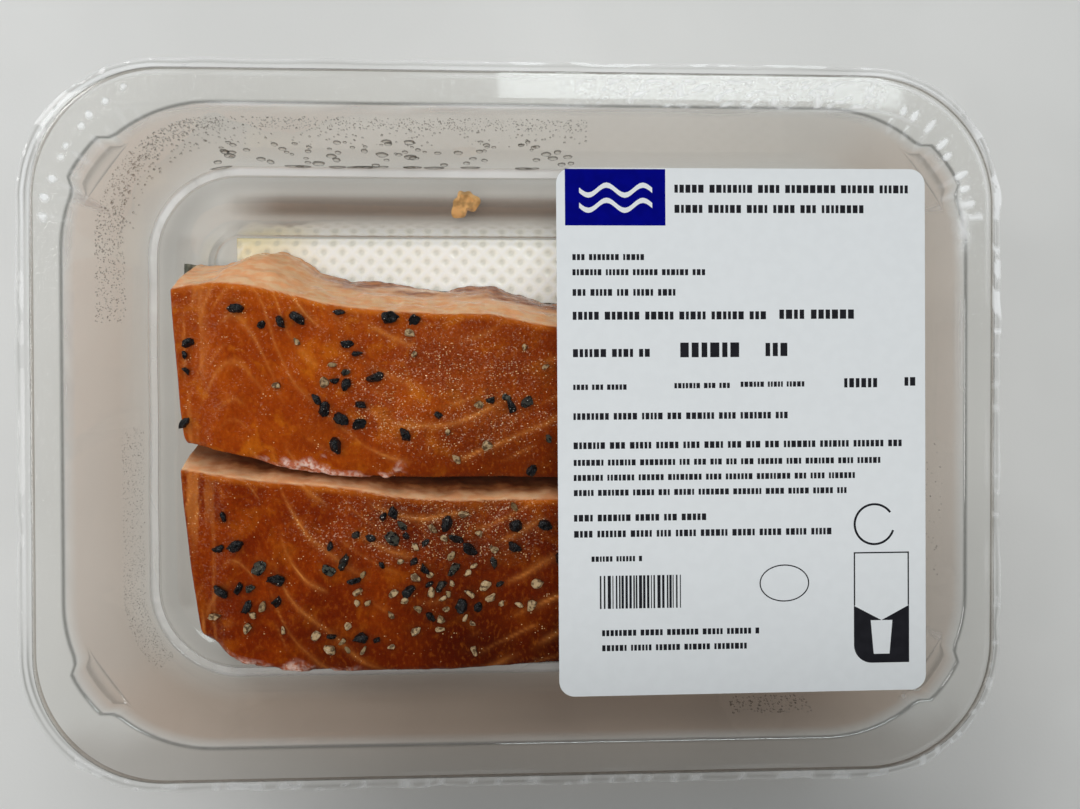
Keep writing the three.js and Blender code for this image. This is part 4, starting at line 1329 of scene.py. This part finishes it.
def two_part_box(ink, white):
    """An outlined box, dark below a notched line, with a pale tapered block in its dark half."""
    left, right, top = label_u(BOX_LEFT), label_u(BOX_RIGHT), label_v(BOX_TOP)
    split, notch, bottom = label_v(BOX_SPLIT), label_v(BOX_NOTCH), label_v(BOX_BOTTOM)
    middle = (left + right) / 2
    radius = BOX_CORNER * PX
    turns = [math.radians(a) for a in range(0, 91, 10)]
    round_low = [(left + radius * (1 - math.cos(t)), bottom + radius * (1 - math.sin(t))) for t in turns]
    ink.polygon([*round_low, (right, bottom), (right, split), (middle, notch), (left, split)])
    line = BOX_LINE * PX
    ink.block(left, split, left + line, top)
    ink.block(right - line, split, right, top)
    ink.block(left, top - line, right, top)
    wide, slim, low = CUP_TOP_HALF * PX, CUP_LOW_HALF * PX, label_v(CUP_BOTTOM)
    cup_left = [(middle - wide, notch), (middle - slim, low)]
    white.polygon([*cup_left, (middle + slim, low), (middle + wide, notch)])


def build_print():
    rng = np.random.default_rng(PRINT_SEED)
    ink = Print("label_print", INK, PRINT_LIFT)
    blue = Print("label_panel", BLUE_INK, PRINT_LIFT)
    white = Print("label_marks", PAPER, MARK_LIFT)
    wave_panel(blue, white)
    for row in TEXT_ROWS:
        text_row(ink, rng, *row)
    bar_field(ink, rng)
    ink.ring(label_u(OVAL_X), label_v(OVAL_Y), OVAL_WIDE * PX, OVAL_HIGH * PX, OVAL_LINE * PX)
    size = RING_SIZE * PX
    ink.ring(label_u(RING_X), label_v(RING_Y), size, size, RING_LINE * PX, start=RING_START, stop=RING_STOP)
    two_part_box(ink, white)
    for sheet in (ink, blue, white):
        sheet.build()


# Water drops on the inside of the walls

SMALL_DROP_SIDES, LARGE_DROP_SIDES = 6, 12
LARGE_DROP = 0.2
# A drop's rings: radius, height and how much each is rim. The last number is its peak.
DOME_RINGS = [(1.0, 0.0, 1.0), (0.86, 0.3, 0.85), (0.6, 0.42, 0.1), (0.3, 0.5, 0.0)]
DOME_PEAK = 0.52
DROP_TURN, DROP_WOBBLE, DROP_LIFT = 0.08, 0.06, 0.03
WALL_SIDE_POINTS, WALL_LEAN = 40, 0.22
# Groups of drops: how many, their span round the wall, heights, sizes, how wide and how tall they
# are for their size, and how far the group sinks towards its far end.
ROUND_DROP = (0.9, 1.2)
DROPS = [
    (2000, (0.232, 0.455), (27.0, 31.5), (0.06, 0.17), ROUND_DROP, 1.6, 7.0),
    (300, (0.232, 0.41), (21.0, 28.0), (0.10, 0.26), ROUND_DROP, 1.6, 4.0),
    (60, (0.235, 0.335), (13.5, 23.0), (0.3, 0.7), (1.1, 1.9), 1.4, 0.0),
    (12, (0.24, 0.34), (12.8, 18.0), (0.5, 0.9), (1.3, 2.2), 1.2, 0.0),
    (1000, (0.50, 0.625), (13.0, 20.0), (0.05, 0.12), ROUND_DROP, 1.6, 0.0),
    (60, (0.93, 0.99), (22.0, 30.0), (0.08, 0.16), ROUND_DROP, 1.6, 0.0),
    (160, (0.80, 0.82), (22.0, 28.0), (0.08, 0.22), ROUND_DROP, 1.6, 0.0),
    (16, (0.22, 0.34), (11.9, 12.2), (0.45, 0.6), (2.5, 5.0), 0.8, 0.0),
]


def dome(around):
    """Points of a low dome one unit in radius, its faces, and its rim mask."""
    turn = np.linspace(0, math.tau, around, endpoint=False)
    circle = np.column_stack([np.cos(turn), np.sin(turn)])
    rings = [np.column_stack([r * circle, np.full(around, h)]) for r, h, _ in DOME_RINGS]
    rim = np.repeat([m for _, _, m in DOME_RINGS], around)
    faces = ring_faces(len(rings), around, first_cap=False)
    return np.vstack([*rings, [[0.0, 0.0, DOME_PEAK]]]), faces, np.append(rim, 0.0)


def wall_place(along, z):
    """Point, inward normal and direction on the upper wall: along runs from 0 to 1 anticlockwise
    from the middle of the right wall."""
    inset = LEDGE_INSET * (TRAY_DEPTH - z) / (TRAY_DEPTH - LEDGE_HEIGHT)
    radius = lerp(OPENING_RADIUS, LEDGE_RADIUS, inset / LEDGE_INSET)
    hx, hy = OPENING_LENGTH / 2 - inset, OPENING_WIDTH / 2 - inset
    ring = rounded_ring(hx, hy, radius, z, side_points=WALL_SIDE_POINTS)
    ring = np.roll(ring, WALL_SIDE_POINTS // 2, 0)
    place = along * len(ring)
    index = int(place) % len(ring)
    here, after = ring[index], ring[(index + 1) % len(ring)]
    direction = (after - here) / np.linalg.norm(after - here)
    return lerp(here, after, place % 1.0), np.array([-direction[1], direction[0], WALL_LEAN]), direction


def build_drops():
    rng = np.random.default_rng(DROP_SEED)
    small, large = dome(SMALL_DROP_SIDES), dome(LARGE_DROP_SIDES)
    points, faces, rims, total = [], [], [], 0
    for count, span, (low, high), sizes, stretches, tall, sink in DROPS:
        for _ in range(count):
            along = rng.uniform(*span)
            lower = sink * smoothstep(along, 0.33, 0.44)
            center, normal, side = wall_place(along, rng.uniform(low - 1.2 * lower, high - 0.6 * lower))
            size, stretch = rng.uniform(*sizes), rng.uniform(*stretches)
            turn = rng.uniform(-DROP_TURN, DROP_TURN)
            shape, shape_faces, rim = large if size > LARGE_DROP else small
            n = normal / np.linalg.norm(normal)
            wobble = 1 + DROP_WOBBLE * rng.standard_normal((len(shape), 1))
            local = shape * wobble * [size * stretch, size * tall, size]
            a = side * math.cos(turn) + np.cross(n, side) * math.sin(turn)
            axes = np.array([a, np.cross(n, a), n])
            points.append(center + n * DROP_LIFT + local @ axes)
            faces += [[i + total for i in f] for f in shape_faces]
            rims.append(rim)
            total += len(shape)
    make_piece("wall_drops", np.vstack(points), faces, WATER, masks={"rim": np.concatenate(rims)})


FLAKE_PLACE = (-12.6 + TRAY_X, 49.0)
FLAKE_AROUND, FLAKE_ROWS = 64, 16
FLAKE_LIFT = 0.12


def build_flake():
    """A stray curl of meat lying on the far lower wall: thick round its rim, thin in the middle."""
    turns = np.linspace(0, math.tau, FLAKE_AROUND, endpoint=False)
    turn, out = (g.ravel() for g in np.meshgrid(turns, np.linspace(0.04, 1, FLAKE_ROWS)))
    edge = 2.7 + 0.6 * np.sin(2 * turn + 0.6) + 0.45 * np.sin(3 * turn + 2.0) + 0.22 * np.sin(7 * turn)
    x, y = out * edge * np.cos(turn), out * edge * np.sin(turn)
    flat = np.stack([x, y, 0 * x], 1)
    curl = bell(out, 0.2, 0.72) * (0.6 + 0.4 * np.cos(turn - 0.5))
    wrinkles = 0.2 * noise(flat, 1.3, 78) + 0.12 * noise(flat, 0.6, 79)
    body = 0.7 * (1 - out ** 6) * (0.25 + 0.9 * curl + wrinkles)
    px, py = x + FLAKE_PLACE[0], y + FLAKE_PLACE[1]
    ground = shoulder_height(py) + FLAKE_LIFT
    heights = (ground, ground + 0.12 + np.maximum(body, 0.04))
    lower, upper = (np.stack([px, py, z], 1).reshape(FLAKE_ROWS, FLAKE_AROUND, 3) for z in heights)
    rings = np.concatenate([lower, upper[::-1]])
    make_piece("stray_flake", with_middles(rings), ring_faces(len(rings), FLAKE_AROUND), FLAKE)


# Stage, light and camera

FLOOR_REACH = 1500.0
FLAG_LEFT, FLAG_RIGHT, FLAG_NEAR, FLAG_FAR, FLAG_HEIGHT = -70.0, 84.0, -560.0, -60.0, 165.0
SKY = rgb(0.95, 0.97, 1.0)
ORIGIN = (0, 0, 0)
STRIP_X, STRIP_Y = 0.268, 0.52
# Lamps in metres and watts: place, what it points at, size, power, whether it also shows as a
# reflection, and colour.
LAMPS = {
    "ceiling": ((-0.07, -0.05, 0.85), ORIGIN, (0.4, 0.4), 3.9, False, (1, 1, 1)),
    "window": ((-0.30, 0.46, 0.62), ORIGIN, (0.45, 0.3), 0.25, False, (1, 1, 1)),
    "side": ((-0.70, 0.0, 0.50), ORIGIN, (0.24, 0.24), 0.6, True, (1, 1, 1)),
    "bulb": ((-0.60, 0.42, 0.70), ORIGIN, (0.18, 0.18), 0.8, True, (1, 1, 1)),
    "strip": ((STRIP_X, STRIP_Y, 1.0), (STRIP_X, STRIP_Y, 0), (0.566, 0.22), 2.3, True, (0.9, 0.98, 1)),
}


def add_sheet(name, left, right, near, far, z, material):
    """A flat rectangle that belongs to the stage."""
    corners = [(left, near, z), (right, near, z), (right, far, z), (left, far, z)]
    sheet = add_mesh(name, corners, [[0, 1, 2, 3]], material)
    return sheet


def build_stage():
    """The floor, and a dark card out of view over the near side, where someone stands and takes
    light away."""
    flag = add_sheet("flag", FLAG_LEFT, FLAG_RIGHT, FLAG_NEAR, FLAG_FAR, FLAG_HEIGHT, INK)
    flag.visible_camera = False
    flag.visible_glossy = False
    flag.visible_transmission = False
    add_sheet("floor", -FLOOR_REACH, FLOOR_REACH, -FLOOR_REACH, FLOOR_REACH, 0, FLOOR)


def build_lights():
    """A sky that is dark overhead and on the near side, soft light from above, a window beyond
    the pack's far side, two lamps to the left, and a strip that shows as the glare on the far
    flange."""
    bpy.context.scene.world = bpy.data.worlds.new("studio")
    s = Shader(bpy.context.scene.world)
    split = s.node("SeparateXYZ", {0: s.node("TexCoord").outputs["Generated"]})
    overhead = s.ramp(split.outputs[2], 0.3, 0.9, 1.0, 0.12, kind="LINEAR")
    far = s.ramp(split.outputs[1], -0.7, 0.7, 0.10, 0.42, kind="LINEAR")
    s.finish(s.node("Background", {"Color": SKY, "Strength": s.times(overhead, far)}), "OutputWorld")
    for name, (place, target, size, power, shows, color) in LAMPS.items():
        light = bpy.data.lights.new(name, "AREA")
        light.shape = "RECTANGLE"
        light.size, light.size_y = size
        light.energy = power
        light.color = color
        obj = add_object(name, light)
        obj.visible_glossy = shows
        obj.rotation_euler = (Vector(target) - Vector(place)).to_track_quat("-Z", "Y").to_euler()
        obj.location = place


def build_camera():
    data = bpy.data.cameras.new("camera")
    data.sensor_width = SENSOR_WIDTH
    data.lens = FOCAL_PIXELS / PHOTO_WIDTH * SENSOR_WIDTH
    data.clip_start = 0.01
    obj = add_object("camera", data)
    turn = Matrix.Identity(3)
    for angle, axis in zip(CAMERA_TURN, "XYZ"):
        turn = Matrix.Rotation(math.radians(angle), 3, axis) @ turn
    place = Matrix.Translation([c * MM for c in CAMERA_PLACE])
    obj.matrix_world = place @ turn.transposed().to_4x4()
    bpy.context.scene.camera = obj
    bpy.context.scene.view_settings.view_transform = "Standard"


build_camera()
build_tray()
build_film()
build_pad()
for portion_side in PORTIONS:
    build_salmon(portion_side)
    build_skin(portion_side)
for pepper_color in PEPPER:
    build_pepper(pepper_color)
build_label()
build_print()
build_drops()
build_flake()
build_lights()
build_stage()
